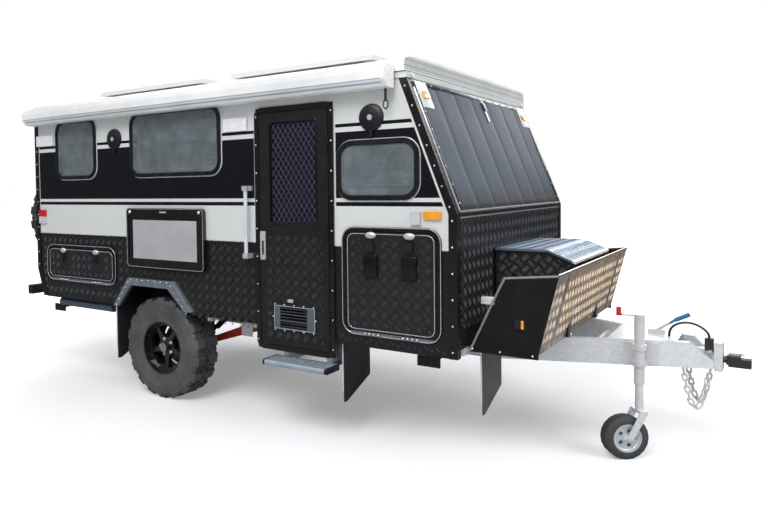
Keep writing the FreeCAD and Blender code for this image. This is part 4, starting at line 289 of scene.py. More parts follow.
surface_wear, given, out = effect(
    "surface_wear", {"Color": "Color", "Roughness": "Float", "Normal": "Vector"}, Light=(0.6, 0.6, 0.6, 1),
    Dark=(0.4, 0.4, 0.4, 1), Scale=6.0, Smooth=0.3, Rough=0.5, Grain=400.0, Relief=0.0004)
place = Place(surface_wear)
patches = place.texture("Noise", Scale=given["Scale"], Detail=6.0, Roughness=0.6)
fine = place.texture("Noise", Scale=given["Grain"], Detail=2.0)
spread = (patches * 0.8 + fine * 0.2).ranged(0.3, 0.7, kind="SMOOTHSTEP")
join(spread.blend(given["Dark"], given["Light"]), out["Color"])
join(spread.math("MULTIPLY_ADD", Field(given["Smooth"]) - given["Rough"], given["Rough"]), out["Roughness"])
join(part(surface_wear, "Bump", Height=fine, Distance=given["Relief"], Strength=0.6).outputs[0],
     out["Normal"])

zinc_spangle, given, out = effect("zinc_spangle", {"Color": "Color", "Roughness": "Float"},
                                  Light=(0.6, 0.6, 0.6, 1), Dark=(0.4, 0.4, 0.4, 1), Scale=60.0)
place = Place(zinc_spangle)
flakes = part(zinc_spangle, "SeparateColor", Color=place.texture("Voronoi", "Color", Scale=given["Scale"]))
tone = Field(flakes.outputs[0]) * 0.45 + place.texture("Noise", Scale=4.0, Detail=5.0) * 0.6
join(tone.blend(given["Dark"], given["Light"]), out["Color"])
join(tone.ranged(first=0.52, last=0.30), out["Roughness"])

galvanised = new_finish("galvanised", (0.66, 0.67, 0.68), 0.4, 0.25)
use(galvanised, zinc_spangle, ("Color", "Roughness"), Light=(0.80, 0.81, 0.83, 1), Dark=(0.56, 0.58, 0.60,
                                                                                         1),
    Scale=55.0)
dress(galvanised, "chassis_rails", "cross_members", "underbody_brackets", "coupling_mount")


def alone(piece):
    """Leaves one piece selected and active."""
    bpy.ops.object.select_all(action="DESELECT")
    piece.select_set(True)
    bpy.context.view_layer.objects.active = piece


def start(kind, name, **how):
    """A new primitive, alone in the selection, with its size and place in its mesh."""
    bpy.ops.object.select_all(action="DESELECT")
    getattr(bpy.ops.mesh, f"primitive_{kind}_add")(**how)
    piece = bpy.context.object
    piece.name = name
    bpy.ops.object.transform_apply(location=True, rotation=True, scale=True)
    return piece


def pick(piece, chosen=None):
    """Opens a piece in edit mode with the faces selected that pass the test, or all of it."""
    alone(piece)
    mesh = piece.data
    for item in (*mesh.vertices, *mesh.edges, *mesh.polygons):
        item.select = chosen is None
    bpy.context.tool_settings.mesh_select_mode = (False, False, True)
    if chosen:
        for face in mesh.polygons:
            face.select = bool(chosen(face.center, face.normal))
    bpy.ops.object.mode_set(mode="EDIT")


def closed():
    bpy.ops.object.mode_set(mode="OBJECT")


def smoothed(piece):
    alone(piece)
    bpy.ops.object.shade_smooth()
    return piece


def applied(piece, kind, **values):
    """Adds one modifier and applies it."""
    alone(piece)
    modifier = piece.modifiers.new(kind.lower(), kind)
    for label, value in values.items():
        setattr(modifier, label, value)
    bpy.ops.object.modifier_apply(modifier=modifier.name)


def rounded(piece, width, segments=2, angle=30):
    """Bevels a piece's sharp edges and shades it smooth by angle."""
    applied(piece, "BEVEL", width=width, segments=segments, limit_method="ANGLE",
            angle_limit=math.radians(angle))
    bpy.ops.object.shade_smooth_by_angle(angle=math.radians(angle))
    return piece


def finish(piece, material, body):
    """Gives a piece its material and the body that it rides on."""
    piece.data.materials.clear()
    piece.data.materials.append(material)
    if body:
        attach(piece, body)
    return piece


def spread_out(name, source, spots):
    """Joined copies of one small piece; each spot is a matrix."""
    points = np.array([(*v.co, 1.0) for v in source.data.vertices])
    faces = [list(f.vertices) for f in source.data.polygons]
    all_points, all_faces = [], []
    for number, spot in enumerate(spots):
        all_points.append((points @ np.array(spot).T)[:, :3])
        all_faces += [[i + number * len(points) for i in face] for face in faces]
    mesh = bpy.data.meshes.new(name)
    mesh.from_pydata(np.concatenate(all_points).tolist(), [], all_faces)
    mesh.validate()
    piece = bpy.data.objects.new(name, mesh)
    bpy.context.collection.objects.link(piece)
    return piece


def facing(place, outward, along=(1, 0, 0)):
    """The matrix that sets a small piece at a place with its top outwards and its length along a line."""
    up = Vector(outward).normalized()
    side = up.cross(Vector(along)).normalized()
    front = side.cross(up)
    return Matrix.Translation(place) @ Matrix((front, side, up)).transposed().to_4x4()


def is_top(centre, normal):
    return normal.z > 0.9


SCREW_RADIUS, SCREW_TALL, SCREW_SIDES = 0.0055, 0.0035, 10
screw = start("cylinder", "screw", vertices=SCREW_SIDES, radius=SCREW_RADIUS, depth=SCREW_TALL,
              location=(0, 0, SCREW_TALL / 2))
pick(screw, is_top)
bpy.ops.mesh.inset(thickness=SCREW_RADIUS * 0.4)
bpy.ops.transform.translate(value=(0, 0, SCREW_TALL * 0.4))
bpy.ops.mesh.inset(thickness=SCREW_RADIUS * 0.25)
bpy.ops.transform.translate(value=(0, 0, -SCREW_TALL * 0.5))
closed()
bright_steel = new_finish("bright_steel", (0.88, 0.89, 0.90), 0.22, 0.6)
use(bright_steel, surface_wear, ("Color", "Roughness"), Light=(0.84, 0.85, 0.86, 1), Dark=(0.66, 0.67, 0.68,
                                                                                           1),
    Scale=20.0, Smooth=0.14, Rough=0.32, Grain=500.0, Relief=0.0001)
MID_Y, HALF_WIDTH = 0.0685, 1.100
RIGHT_FACE, LEFT_FACE = MID_Y - HALF_WIDTH, MID_Y + HALF_WIDTH


def screws(name, spots, body="trailer"):
    return finish(spread_out(name, screw, spots), bright_steel, body)


def on_both(spots):
    """Spots on the right wall and their like on the left; each is (x, depth outside the wall, z)."""
    right = [facing((x, RIGHT_FACE - out, z), (0, -1, 0)) for x, out, z in spots]
    return right + [facing((x, LEFT_FACE + out, z), (0, 1, 0)) for x, out, z in spots]


NUT_RADIUS, NUT_TALL = 0.014, 0.012
nut = start("cylinder", "nut", vertices=6, radius=NUT_RADIUS, depth=NUT_TALL, location=(0, 0, NUT_TALL / 2))
pick(nut, is_top)
bpy.ops.mesh.inset(thickness=NUT_RADIUS * 0.3)
bpy.ops.mesh.extrude_region_move(TRANSFORM_OT_translate={"value": (0, 0, NUT_TALL * 0.5)})
bpy.ops.mesh.inset(thickness=NUT_RADIUS * 0.2)
closed()
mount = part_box("coupling_mount")
COUPLING_X, COUPLING_Z, NUT_SUNK = (2.487, 2.542, 2.597), (0.571, 0.637), 0.0005
drawbar_nuts = spread_out("drawbar_nuts", nut, [
    facing((x, side, z), (0, way, 0)) for x in COUPLING_X for z in COUPLING_Z
    for side, way in ((mount[0][1] + NUT_SUNK, -1), (mount[1][1] - NUT_SUNK, 1))])
finish(drawbar_nuts, bright_steel, "trailer")

zinc_plated = new_finish("zinc_plated", (0.75, 0.76, 0.74), 0.34, 0.4)
use(zinc_plated, surface_wear, ("Color", "Roughness", "Normal"), Light=(0.82, 0.83, 0.84, 1),
    Dark=(0.66, 0.67, 0.68, 1), Scale=14.0, Smooth=0.22, Rough=0.38, Grain=300.0, Relief=0.0002)
dress(zinc_plated, "jockey_leg", "jockey_fork", "safety_chains")


def box_area(x=None, y=None, z=None):
    """A mask of what lies between the given bounds, each (low, high) or left out."""
    def mask(place):
        total = None
        for axis, bounds in ((place.x, x), (place.y, y), (place.z, z)):
            if bounds:
                share = axis.within(*bounds)
                total = total * share if total else share
        return total
    return mask


def distance(one, first, two, second):
    """How far a place is from a point, along two of its axes."""
    gap_one, gap_two = one - first, two - second
    return (gap_one * gap_one + gap_two * gap_two).math("SQRT")


def round_area(x, z, radius):
    """A mask of a round spot on a side wall."""
    return lambda place: distance(place.x, x, place.z, z) < radius


def any_area(*areas):
    """A mask of what lies in any of some areas."""
    def mask(place):
        total = areas[0](place)
        for area in areas[1:]:
            total = total | area(place)
        return total
    return mask


SOILED, SOIL_SHARE = (0.02, 0.02, 0.02, 1), 0.22


def by_place(name, plain, areas=(), scale=9.0, grain=350.0, relief=0.0002, nodes=(), **more):
    """A finish that changes from place to place: plain and each area's are (colour, roughness, metal)."""
    material = new_finish(name, *plain, **more)
    place = Place(material.node_tree)
    colour, rough, metal = (*plain[0], 1), plain[1], plain[2]
    for area, (tone, dull, shine) in areas:
        mask = area(place)
        colour, rough, metal = mask.blend(colour, (*tone, 1)), mask.level(rough, dull), mask.level(metal,
                                                                                                   shine)
    join(metal, shader_of(material)["Metallic"])
    dark = part(place.tree, "Mix", {"data_type": "RGBA"}, i0=SOIL_SHARE, i6=colour, i7=SOILED).outputs[2]
    worn = use(material, surface_wear, ("Color", "Normal"), Light=colour, Dark=dark, Scale=scale,
               Smooth=0.0, Rough=0.10, Grain=grain, Relief=relief)
    join(Field(worn.outputs["Roughness"]) + rough, shader_of(material)["Roughness"])
    dress(material, *nodes)
    return material


BLACK_STEEL = ((0.009, 0.009, 0.010), 0.32, 0.0)
CHROME = ((0.86, 0.87, 0.88), 0.14, 0.6)
KNOB_RED, GRIP_BLUE = ((0.55, 0.02, 0.015), 0.3, 0.0), ((0.03, 0.16, 0.42), 0.42, 0.0)
KNOB_WIDE, KNOB_TALL, GRIP_LONG = 0.034, 0.05, 0.11
tube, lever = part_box("jockey_tube"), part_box("handbrake")
by_place("jockey_zinc", ((0.74, 0.75, 0.76), 0.28, 0.35), [
    (box_area(x=(tube[0][0] - 0.01, tube[0][0] + KNOB_WIDE), z=(tube[1][2] - KNOB_TALL, tube[1][2] + 0.01)),
     KNOB_RED)], nodes=["jockey_tube"])
by_place("brake_zinc", ((0.72, 0.73, 0.74), 0.28, 0.35), [
    (box_area(x=(lever[1][0] - GRIP_LONG, lever[1][0] + 0.01)), GRIP_BLUE)], nodes=["handbrake"])
by_place("coupling_steel", ((0.028, 0.028, 0.030), 0.3, 0.0), [
    (box_area(x=(2.752, 2.81), z=(0.60, 0.63)), ((0.70, 0.71, 0.72), 0.22, 0.9))], nodes=["coupling_head"])
JOCKEY_HUB, JOCKEY_AXIS, DISC_RADIUS = Vector((2.19072, -0.27446, 0.13)), Vector((-0.601815, 0.798636,
                                                                                  0)), 0.084


def in_jockey_disc(place):
    """True near the small wheel's own axis, where its pressed disc is."""
    x, y, z = place.x - JOCKEY_HUB.x, place.y - JOCKEY_HUB.y, place.z - JOCKEY_HUB.z
    along = x * JOCKEY_AXIS.x + y * JOCKEY_AXIS.y
    return (x * x + y * y + z * z - along * along) < DISC_RADIUS ** 2


by_place("small_rubber", ((0.045, 0.045, 0.047), 0.62, 0.0), [
    (in_jockey_disc, ((0.55, 0.60, 0.64), 0.34, 0.3))], grain=260.0, relief=0.0006, nodes=["jockey_wheel"])
lead_jacket = by_place("lead_jacket", ((0.02, 0.02, 0.021), 0.38, 0.0), grain=600.0, nodes=["lead_plug"])
lead_curve.materials.append(lead_jacket)

# Jockey wheel: a pressed zinc disc with five holes inside a solid ribbed tyre, on a plain axle with nuts.
# Rolled flanges and hubs stand on both faces of the disc, and the nuts hold the axle in its fork.
FLANGE_RADIUS, FLANGE_TALL, FLANGE_OUT, HUB_OUT, CHEEK_OUT = 0.079, 0.006, 0.031, 0.033, 0.0585
flange = start("torus", "jockey_flange", major_radius=FLANGE_RADIUS - FLANGE_TALL, minor_radius=FLANGE_TALL,
               major_segments=40, minor_segments=8)
hub = start("cylinder", "jockey_hub", vertices=24, radius=0.024, depth=0.03)
pick(hub, lambda centre, normal: abs(normal.z) > 0.9)
bpy.ops.mesh.inset(thickness=0.006)
closed()


def on_axle(name, source, out):
    """A copy of a piece on each side of the jockey wheel."""
    return spread_out(name, source, [
        facing(JOCKEY_HUB + JOCKEY_AXIS * way * out, JOCKEY_AXIS * way, (0, 0, 1)) for way in (-1, 1)])


finish(smoothed(on_axle("jockey_flanges", flange, FLANGE_OUT)), zinc_plated, "jockey_wheel")
finish(on_axle("jockey_hubs", hub, HUB_OUT), zinc_plated, "jockey_wheel")
finish(on_axle("jockey_axle_nuts", nut, CHEEK_OUT), bright_steel, "jockey_fork")

# Trailing arms: pressed steel beams, painted red, with a round brake back plate at each wheel.
# Each carries a coil spring and a damper painted satin black, like the rear carrier and the stabilisers.
AXLE_X, AXLE_Z, PLATE_RADIUS, PLATE_THICK, PLATE_SIDE, ARM_SIDE = -0.980, 0.395, 0.166, 0.012, 0.846, 0.775
by_place("red_paint", ((0.46, 0.035, 0.02), 0.3, 0.0), [
    (any_area(box_area(y=(-1.1, MID_Y - ARM_SIDE)), box_area(y=(MID_Y + ARM_SIDE, 1.2))), BLACK_STEEL)],
    scale=7.0, nodes=["trailing_arms"])
black_steel = by_place("black_steel", BLACK_STEEL, grain=500.0, relief=0.0003, nodes=[
    "springs_and_dampers", "rear_carrier", *[f"stabiliser_{end}_{side}" for end in ("front", "rear")
                                             for side in ("right", "left")]])
for name, way in (("right", -1), ("left", 1)):
    back_plate = start("cylinder", f"brake_plate_{name}", vertices=48, radius=PLATE_RADIUS,
                       depth=PLATE_THICK,
                       location=(AXLE_X, MID_Y + way * PLATE_SIDE, AXLE_Z), rotation=(math.pi / 2, 0, 0))
    finish(rounded(back_plate, 0.003), black_steel, "trailer")

# Wheels: off-road tyres on gloss black alloy rims, each held by five nuts round a hub with a silver cap.
# The crown's road tread is rows of rubber blocks between the shoulder lugs, cut by narrow sipes.
TYRE_RADIUS, RIM_RADIUS, CAP_RADIUS, NUT_CIRCLE, NUT_OUT = 0.395, 0.2085, 0.036, 0.062, 0.052
WHEEL_Y = {"road_wheel_right": -0.8735, "road_wheel_left": 1.0105}
SPARE_X, SPARE_Y, SPARE_Z = -2.669, (-0.5235, 0.6605), 1.390


def spare_distance(place):
    """How far a place is from the nearer spare wheel's axis."""
    return distance(abs(place.y - sum(SPARE_Y) / 2), (SPARE_Y[1] - SPARE_Y[0]) / 2, place.z, SPARE_Z)


tyre_rubber = new_finish("tyre_rubber", (0.03, 0.03, 0.032), 0.62)
use(tyre_rubber, surface_wear, ("Color", "Roughness"), Light=(0.105, 0.104, 0.110, 1),
    Dark=(0.050, 0.050, 0.053, 1), Scale=5.0, Smooth=0.46, Rough=0.62, Grain=240.0, Relief=0.0004)
place = Place(tyre_rubber.node_tree)
road_distance = distance(place.x, AXLE_X, place.z, AXLE_Z)
radius = (place.x < SPARE_X + 0.2).level(road_distance, spare_distance(place))
ribs = (radius * 520.0).math("SINE") * radius.within(0.22, 0.335)
relief = ribs * 0.6 + place.texture("Noise", Scale=240.0)
join(part(place.tree, "Bump", Height=relief, Distance=0.0008, Strength=0.7).outputs[0],
     shader_of(tyre_rubber)["Normal"])
dress(tyre_rubber, "tyre_right", "tyre_left")

BLOCK_LONG, BLOCK_WIDE, BLOCK_TALL, BLOCKS, BLOCK_SUNK, BLOCK_SKEW = 0.050, 0.034, 0.013, 34, 0.0055, 0.35
block = start("cube", "tread_block", size=1, scale=(BLOCK_LONG, BLOCK_WIDE, BLOCK_TALL))
pick(block, is_top)
bpy.ops.mesh.subdivide(number_cuts=2)
closed()
pick(block, lambda centre, normal: normal.z > 0.9 and abs(centre.x) < BLOCK_LONG * 0.15)
bpy.ops.transform.translate(value=(0, 0, -BLOCK_TALL * 0.45))
closed()
pick(block, lambda centre, normal: normal.z > 0.9 and centre.z > BLOCK_TALL * 0.4)
bpy.ops.transform.resize(value=(0.92, 0.88, 1))
closed()
ROWS = ((-0.054, 0.0), (-0.0178, 0.5), (0.0178, 0.0), (0.054, 0.5))


def crown(centre, axis):
    """Places round a tyre's crown for all its rows of blocks."""
    spots = []
    axis = Vector(axis)
    for row_gap, phase in ROWS:
        for number in range(BLOCKS):
            out = Matrix.Rotation(2 * math.pi * (number + phase) / BLOCKS, 3, axis) @ Vector((0, 0, 1))
            skew = Matrix.Rotation(BLOCK_SKEW * (1 if row_gap > 0 else -1), 3, out)
            spot = Vector(centre) + axis * row_gap + out * (TYRE_RADIUS - BLOCK_TALL / 2 - BLOCK_SUNK)
            spots.append(facing(spot, out, skew @ axis.cross(out)))
    return spots


for body, side in WHEEL_Y.items():
    finish(spread_out("tread_" + body, block, crown((AXLE_X, side, AXLE_Z), (0, 1, 0))), tyre_rubber, body)
spare_spots = [spot for side in SPARE_Y for spot in crown((SPARE_X, side, SPARE_Z), (1, 0, 0))]
finish(spread_out("tread_spares", block, spare_spots), tyre_rubber, "trailer")

RIM_BLACK, RIM_SILVER = ((0.010, 0.010, 0.011), 0.10, 0.0), ((0.62, 0.63, 0.65), 0.18, 0.9)
by_place("rim_black", RIM_BLACK, [(round_area(AXLE_X, AXLE_Z, CAP_RADIUS), RIM_SILVER)], relief=0.0001,
         Coat_Weight=1.0, Coat_Roughness=0.04, nodes=["rim_right", "rim_left"])
by_place("spare_wheel", ((0.028, 0.028, 0.030), 0.55, 0.0), [
    (lambda place: spare_distance(place) < RIM_RADIUS, RIM_BLACK)], grain=240.0, relief=0.0005,
    nodes=["spare_wheels"])
for body, side in WHEEL_Y.items():
    way = -1 if side < MID_Y else 1
    turns = [2 * math.pi * (number + 0.5) / 5 for number in range(5)]
    spots = [facing((AXLE_X + NUT_CIRCLE * math.cos(turn), side + way * NUT_OUT,
                     AXLE_Z + NUT_CIRCLE * math.sin(turn)), (0, way, 0)) for turn in turns]
    finish(spread_out("wheel_nuts_" + body, nut, spots), bright_steel, body)

# Body walls: sandwich panels with a gloss white skin, a wide black band and thin lines above and below it.
# Below the belt a black plate with raised bars is glued on, and white shows beside trims and door frame.
BELT, THIN_LINE, BAND, PIN_LINE = 1.265, (1.517, 1.543), (1.567, 1.980), (2.010, 2.032)
NOSE_X, TAIL_X, BEND_Z, SLOPE, WALL_TOP = 1.460, -2.500, 1.475, 0.38125, 2.275
TRIM_EDGE, WHITE_EDGE = 0.046, 0.016
DOOR_REAR_X, DOOR_FRONT_X, DOOR_EDGE = 0.025, 0.655, 0.012
SKIN_WHITE, SKIN_BLACK = (0.60, 0.61, 0.60, 1), (0.004, 0.0045, 0.007, 1)
PLATE_BLACK = (0.007, 0.007, 0.008, 1)
wall_skin = new_finish("wall_skin", (0.8, 0.8, 0.8), 0.25, 0.0, Coat_Weight=0.3, Coat_Roughness=0.05)
place = Place(wall_skin.node_tree)
lines = place.z.within(*THIN_LINE) | place.z.within(*BAND) | place.z.within(*PIN_LINE)
rise = (place.z - BEND_Z) | 0.0
before_nose = place.x < (NOSE_X - TRIM_EDGE - WHITE_EDGE) - rise * SLOPE
inside = before_nose * (place.x > TAIL_X + TRIM_EDGE + WHITE_EDGE / 2)
beside_door = place.x.within(DOOR_REAR_X - DOOR_EDGE, DOOR_FRONT_X + DOOR_EDGE) * (place.y < MID_Y)
low = place.z < BELT
colour = (lines * inside * (1.0 - beside_door)).blend(SKIN_WHITE, SKIN_BLACK)
join(low.blend(colour, PLATE_BLACK), shader_of(wall_skin)["Base Color"])
haze = place.texture("Noise", Scale=3.0, Detail=4.0)
join(haze.ranged(first=0.12, last=0.24) + low * 0.14, shader_of(wall_skin)["Roughness"])
dress(wall_skin, "right_wall", "left_wall")

BODY_WHITE = ((0.70, 0.71, 0.71), 0.18, 0.0)
by_place("body_white", BODY_WHITE, scale=2.5, grain=200.0, relief=0.0001, Coat_Weight=0.3,
         Coat_Roughness=0.05, nodes=["rear_wall", "top_frame"])
ROOF_EDGE_X = (1.152, 1.2)
# The roof's front face is coloured mid grey as painted shade, with two thin dark lines along it.
by_place("roof_white", ((0.90, 0.90, 0.90), 0.35, 0.0), [
    (box_area(x=ROOF_EDGE_X, z=(2.32, 2.40)), ((0.48, 0.50, 0.50), 0.3, 0.0)),
    (any_area(box_area(x=ROOF_EDGE_X, z=(2.344, 2.347)), box_area(x=ROOF_EDGE_X, z=(2.378, 2.381))),
     ((0.10, 0.11, 0.11), 0.4, 0.0))], scale=2.5, grain=200.0, relief=0.0001, nodes=["roof_shell"])
by_place("front_skin", BODY_WHITE, [(box_area(z=(0.60, BEND_Z + 0.012)), (PLATE_BLACK[:3], 0.22, 0.0))],
         scale=3.0, nodes=["front_wall"])

BAR_LONG, BAR_WIDE, BAR_TALL, BAR_PITCH, BAR_SUNK = 0.043, 0.0062, 0.0028, 0.072, 0.0004
BARS_TOGETHER, BAR_STEP, BAR_REACH = 4, 0.0118, 0.36
tread_bar = start("cone", "tread_bar", vertices=4, radius1=0.5, radius2=0.24, depth=1, location=(0, 0, 0.5))
tread_bar.data.transform(Matrix.Diagonal((BAR_LONG, BAR_WIDE, BAR_TALL, 1)))


def plate_bars(name, corner, along, up, wide, tall, material, body, keep=lambda place: True):
    """Raised bars over a plate, four together, the groups leaning right and left by turns like a weave."""
    along, up, corner = Vector(along).normalized(), Vector(up).normalized(), Vector(corner)
    outward = along.cross(up)
    columns, rows = int(2 * wide / BAR_PITCH), int(2 * tall / BAR_PITCH)
    left, low = (wide - columns * BAR_PITCH / 2) / 2, (tall - rows * BAR_PITCH / 2) / 2
    half = BAR_LONG * BAR_REACH
    spots = []
    for i in range(columns + 1):
        for j in range(i % 2, rows + 1, 2):
            lean = (along + up * (-1 if i % 2 else 1)).normalized()
            across = outward.cross(lean)
            for number in range(BARS_TOGETHER):
                place = (corner + along * (left + i * BAR_PITCH / 2) + up * (low + j * BAR_PITCH / 2)
                         + across * (number - (BARS_TOGETHER - 1) / 2) * BAR_STEP)
                u, v = (place - corner).dot(along), (place - corner).dot(up)
                on_area = half < u < wide - half and half < v < tall - half
                if on_area and keep(place + lean * half) and keep(place - lean * half):
                    spots.append(facing(place - outward * BAR_SUNK, outward, lean))
    return finish(spread_out(name, tread_bar, spots), material, body)


def outside(place, x, z, edge=0.010):
    """True where a place is off a rectangle on a side wall, by more than an edge."""
    return not (x[0] - edge < place.x < x[1] + edge and z[0] - edge < place.z < z[1] + edge)


def grown(x, z, by):
    return (x[0] - by, x[1] + by), (z[0] - by, z[1] + by)


def spans(node):
    """A node's ranges along x, y and z."""
    return list(zip(*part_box(node)))


ARCH_LINE = ((-1.453, 0.70), (-1.271, 0.938), (-0.801, 0.938), (-0.600, 0.70))
REAR_FOOT, REAR_KNEE, REAR_SILL, FRONT_SILL, REAR_PART = -2.418, 0.940, 0.700, 0.645, -1.2
RIM_OUT, BAR_CLEAR = 0.031, 0.012
HATCH_X, HATCH_Z = {}, {}
for end in ("rear", "front"):
    HATCH_X[end], _, HATCH_Z[end] = spans(f"{end}_hatch_right")
TABLE_X, TABLE_Y, TABLE_Z = spans("table_leaf")
GRAB_X, _, GRAB_Z = spans("grab_handle")


def on_plate(place):
    """True where the lower wall is free for raised bars."""
    (rear_x, low_z), (top_rear_x, top_z), (top_front_x, _), (front_x, _) = ARCH_LINE
    share = (place.z - low_z) / (top_z - low_z)
    rear_line, front_line = rear_x + (top_rear_x - rear_x) * share, front_x - (front_x - top_front_x) * share
    if place.z < top_z + 0.008 and rear_line - BAR_CLEAR < place.x < front_line + BAR_CLEAR:
        return False
    if place.x < REAR_PART and place.z < REAR_SILL + BAR_CLEAR:
        return False
    foot = TAIL_X + (REAR_FOOT - TAIL_X) * max(0.0, REAR_KNEE - place.z) / (REAR_KNEE - REAR_SILL)
    if not foot + TRIM_EDGE + BAR_CLEAR <= place.x <= NOSE_X - TRIM_EDGE - BAR_CLEAR:
        return False
    return all(outside(place, *grown(HATCH_X[end], HATCH_Z[end], RIM_OUT)) for end in HATCH_X)


def on_right_plate(place):
    off_door = outside(place, (DOOR_REAR_X, DOOR_FRONT_X), (0.5, 2.2))
    return (off_door and outside(place, TABLE_X, TABLE_Z) and outside(place, GRAB_X, GRAB_Z, 0.004)
            and on_plate(place))


BLACK_PLATE = ((0.014, 0.014, 0.016), 0.24, 0.0)
black_plate = by_place("black_plate", BLACK_PLATE, grain=500.0)
# The raised bars are coloured a lighter grey than the black plate under them: a painted highlight for the
# glints along the bars.
bars_painted_glint = by_place("bars_painted_glint", ((0.085, 0.085, 0.095), 0.2, 0.35), grain=500.0)
PLATE_LONG, PLATE_TALL, PLATE_FOOT = NOSE_X - TAIL_X, BELT - FRONT_SILL - 0.012, FRONT_SILL + 0.006
plate_bars("bars_right_wall", (TAIL_X, RIGHT_FACE, PLATE_FOOT), (1, 0, 0), (0, 0, 1), PLATE_LONG,
           PLATE_TALL, bars_painted_glint, "trailer", on_right_plate)
plate_bars("bars_left_wall", (NOSE_X, LEFT_FACE, PLATE_FOOT), (-1, 0, 0), (0, 0, 1), PLATE_LONG, PLATE_TALL,
           bars_painted_glint, "trailer", on_plate)
FRONT_LOW, FRONT_HALF, BOX_CLEAR = 0.80, HALF_WIDTH - 0.05, 0.02
BOX_X, BOX_Y, BOX_Z = spans("front_box")


def beside_box(place):
    return not (BOX_Y[0] - BOX_CLEAR < place.y < BOX_Y[1] + BOX_CLEAR and place.z < BOX_Z[1] + BOX_CLEAR)


plate_bars("bars_front_wall", (NOSE_X, MID_Y - FRONT_HALF, FRONT_LOW), (0, 1, 0), (0, 0, 1), 2 * FRONT_HALF,
           BEND_Z - BOX_CLEAR - FRONT_LOW, bars_painted_glint, "trailer", beside_box)

# Corner trims: black pressed angles that cover the joints of the walls, held by rows of bright screws.
# The belt between white skin and black plate has a thin bright strip.
black_trim = by_place("black_trim", ((0.006, 0.006, 0.007), 0.20, 0.0), scale=8.0, grain=500.0,
                      nodes=["body_trims"])
TRIM_OUT, TRIM_END = 0.0045, 0.04
trim_screws = []
for count, first, last, is_nose in (
        (12, REAR_KNEE + TRIM_END, WALL_TOP - 0.06, False), (6, FRONT_SILL + TRIM_END, BEND_Z - TRIM_END,
                                                             True),
        (7, BEND_Z + TRIM_END, WALL_TOP - 0.05, True)):
    for number in range(count):
        z = first + number * (last - first) / (count - 1)
        nose_x = NOSE_X - max(0.0, z - BEND_Z) * SLOPE - TRIM_EDGE / 2
        trim_screws.append((nose_x if is_nose else TAIL_X + TRIM_EDGE / 2, TRIM_OUT, z))
screws("trim_screws", on_both(trim_screws))


def ring(name, x, z, radius, wide, deep, face_y, way, material, body, slot, softened=0.0):
    """A thin rounded frame on a side wall: outer size, corner radius, width, depth and the face it sits on."""
    piece = start("plane", name, size=1, rotation=(math.pi / 2, 0, 0))
    middle = Matrix.Translation(((x[0] + x[1]) / 2, face_y, (z[0] + z[1]) / 2))
    piece.data.transform(middle @ Matrix.Diagonal((x[1] - x[0], 1, z[1] - z[0], 1)))
    pick(piece)
    bpy.ops.mesh.bevel(offset=radius, offset_type="OFFSET", segments=8, affect="VERTICES")
    bpy.ops.mesh.select_all(action="SELECT")
    bpy.ops.mesh.inset(thickness=wide, use_even_offset=True)
    bpy.ops.mesh.delete(type="FACE")
    bpy.ops.mesh.select_all(action="SELECT")
    bpy.ops.mesh.extrude_region_move(TRANSFORM_OT_translate={"value": (0, way * deep, 0)})
    bpy.ops.mesh.select_all(action="SELECT")
    bpy.ops.mesh.normals_make_consistent(inside=False)
    closed()
    if softened:
        rounded(piece, softened, 2, 50)
    return finish(piece, material, body)


def halved(piece):
    """Cuts each face of a block into four, so that its bevels keep their form."""
    pick(piece)
    bpy.ops.mesh.subdivide(number_cuts=1)
    closed()
    return piece


def bar_piece(name, low, high, material, body, bevel=0.002, segments=2):
    """A straight strip or small block with softened edges, between any two opposite corners."""
    low, high = Vector(list(map(min, low, high))), Vector(list(map(max, low, high)))
    piece = halved(start("cube", name, size=1, location=(low + high) / 2, scale=high - low))
    return finish(rounded(piece, bevel, segments), material, body)


SIDES = {"right": (RIGHT_FACE, -1), "left": (LEFT_FACE, 1)}
STRIP_TALL, STRIP_OUT, STRIP_SUNK, STRIP_GAP = 0.006, 0.003, 0.0005, 0.002
hatch_rear, hatch_front = HATCH_X["front"][0] - RIM_OUT - STRIP_GAP, HATCH_X["front"][1] + RIM_OUT + STRIP_GAP
last_span = (hatch_front, NOSE_X - TRIM_EDGE)
STRIPS = {
    "right": [(TAIL_X + TRIM_EDGE, TABLE_X[0] - 0.008), (TABLE_X[1] + 0.008, GRAB_X[0] - STRIP_GAP),
              (GRAB_X[1] + STRIP_GAP, DOOR_REAR_X - 0.001), (DOOR_FRONT_X + 0.001, hatch_rear), last_span],
    "left": [(TAIL_X + TRIM_EDGE, hatch_rear), last_span]}
for side, (face, way) in SIDES.items():
    for number, (first, last) in enumerate(STRIPS[side]):
        bar_piece(f"belt_{side}_{number}", (first, face - way * STRIP_SUNK, BELT - STRIP_TALL / 2),
                  (last, face + way * STRIP_OUT, BELT + STRIP_TALL / 2), bright_steel, "trailer",
                  0.001)

# Windows: acrylic panes in thick moulded black frames, each with a thin pale bead round it.
# Inside, a pale frame carries the blind, and black latches show along the pane's foot.
frame_black = by_place("frame_black", ((0.007, 0.007, 0.008), 0.22, 0.0), grain=700.0, relief=0.0003,
                       nodes=["window_frames"])
pale_plastic = by_place("pale_plastic", ((0.72, 0.73, 0.74), 0.35, 0.0), scale=4.0)
blind_cloth = by_place("blind_cloth", ((0.60, 0.63, 0.66), 0.65, 0.0), grain=900.0)
smoked_glass = new_finish("smoked_glass", (0.22, 0.26, 0.29), 0.04, 0.0, IOR=1.49, Transmission_Weight=0.7)
streak = Place(smoked_glass.node_tree).texture("Noise", Scale=9.0, Detail=6.0, Roughness=0.7)
join(streak.ranged(0.38, 0.64).blend((0.26, 0.30, 0.32, 1), (0.38, 0.44, 0.47, 1)),
     shader_of(smoked_glass)["Base Color"])
dress(smoked_glass, "window_panes")
WINDOWS = {"small": ((-2.160, -1.680), (1.765, 2.212), 0.42, 2),
           "large": ((-1.202, -0.312), (1.765, 2.212), 0.42, 3),
           "nose": ((0.712, 1.210), (1.585, 1.892), 0.72, 2)}
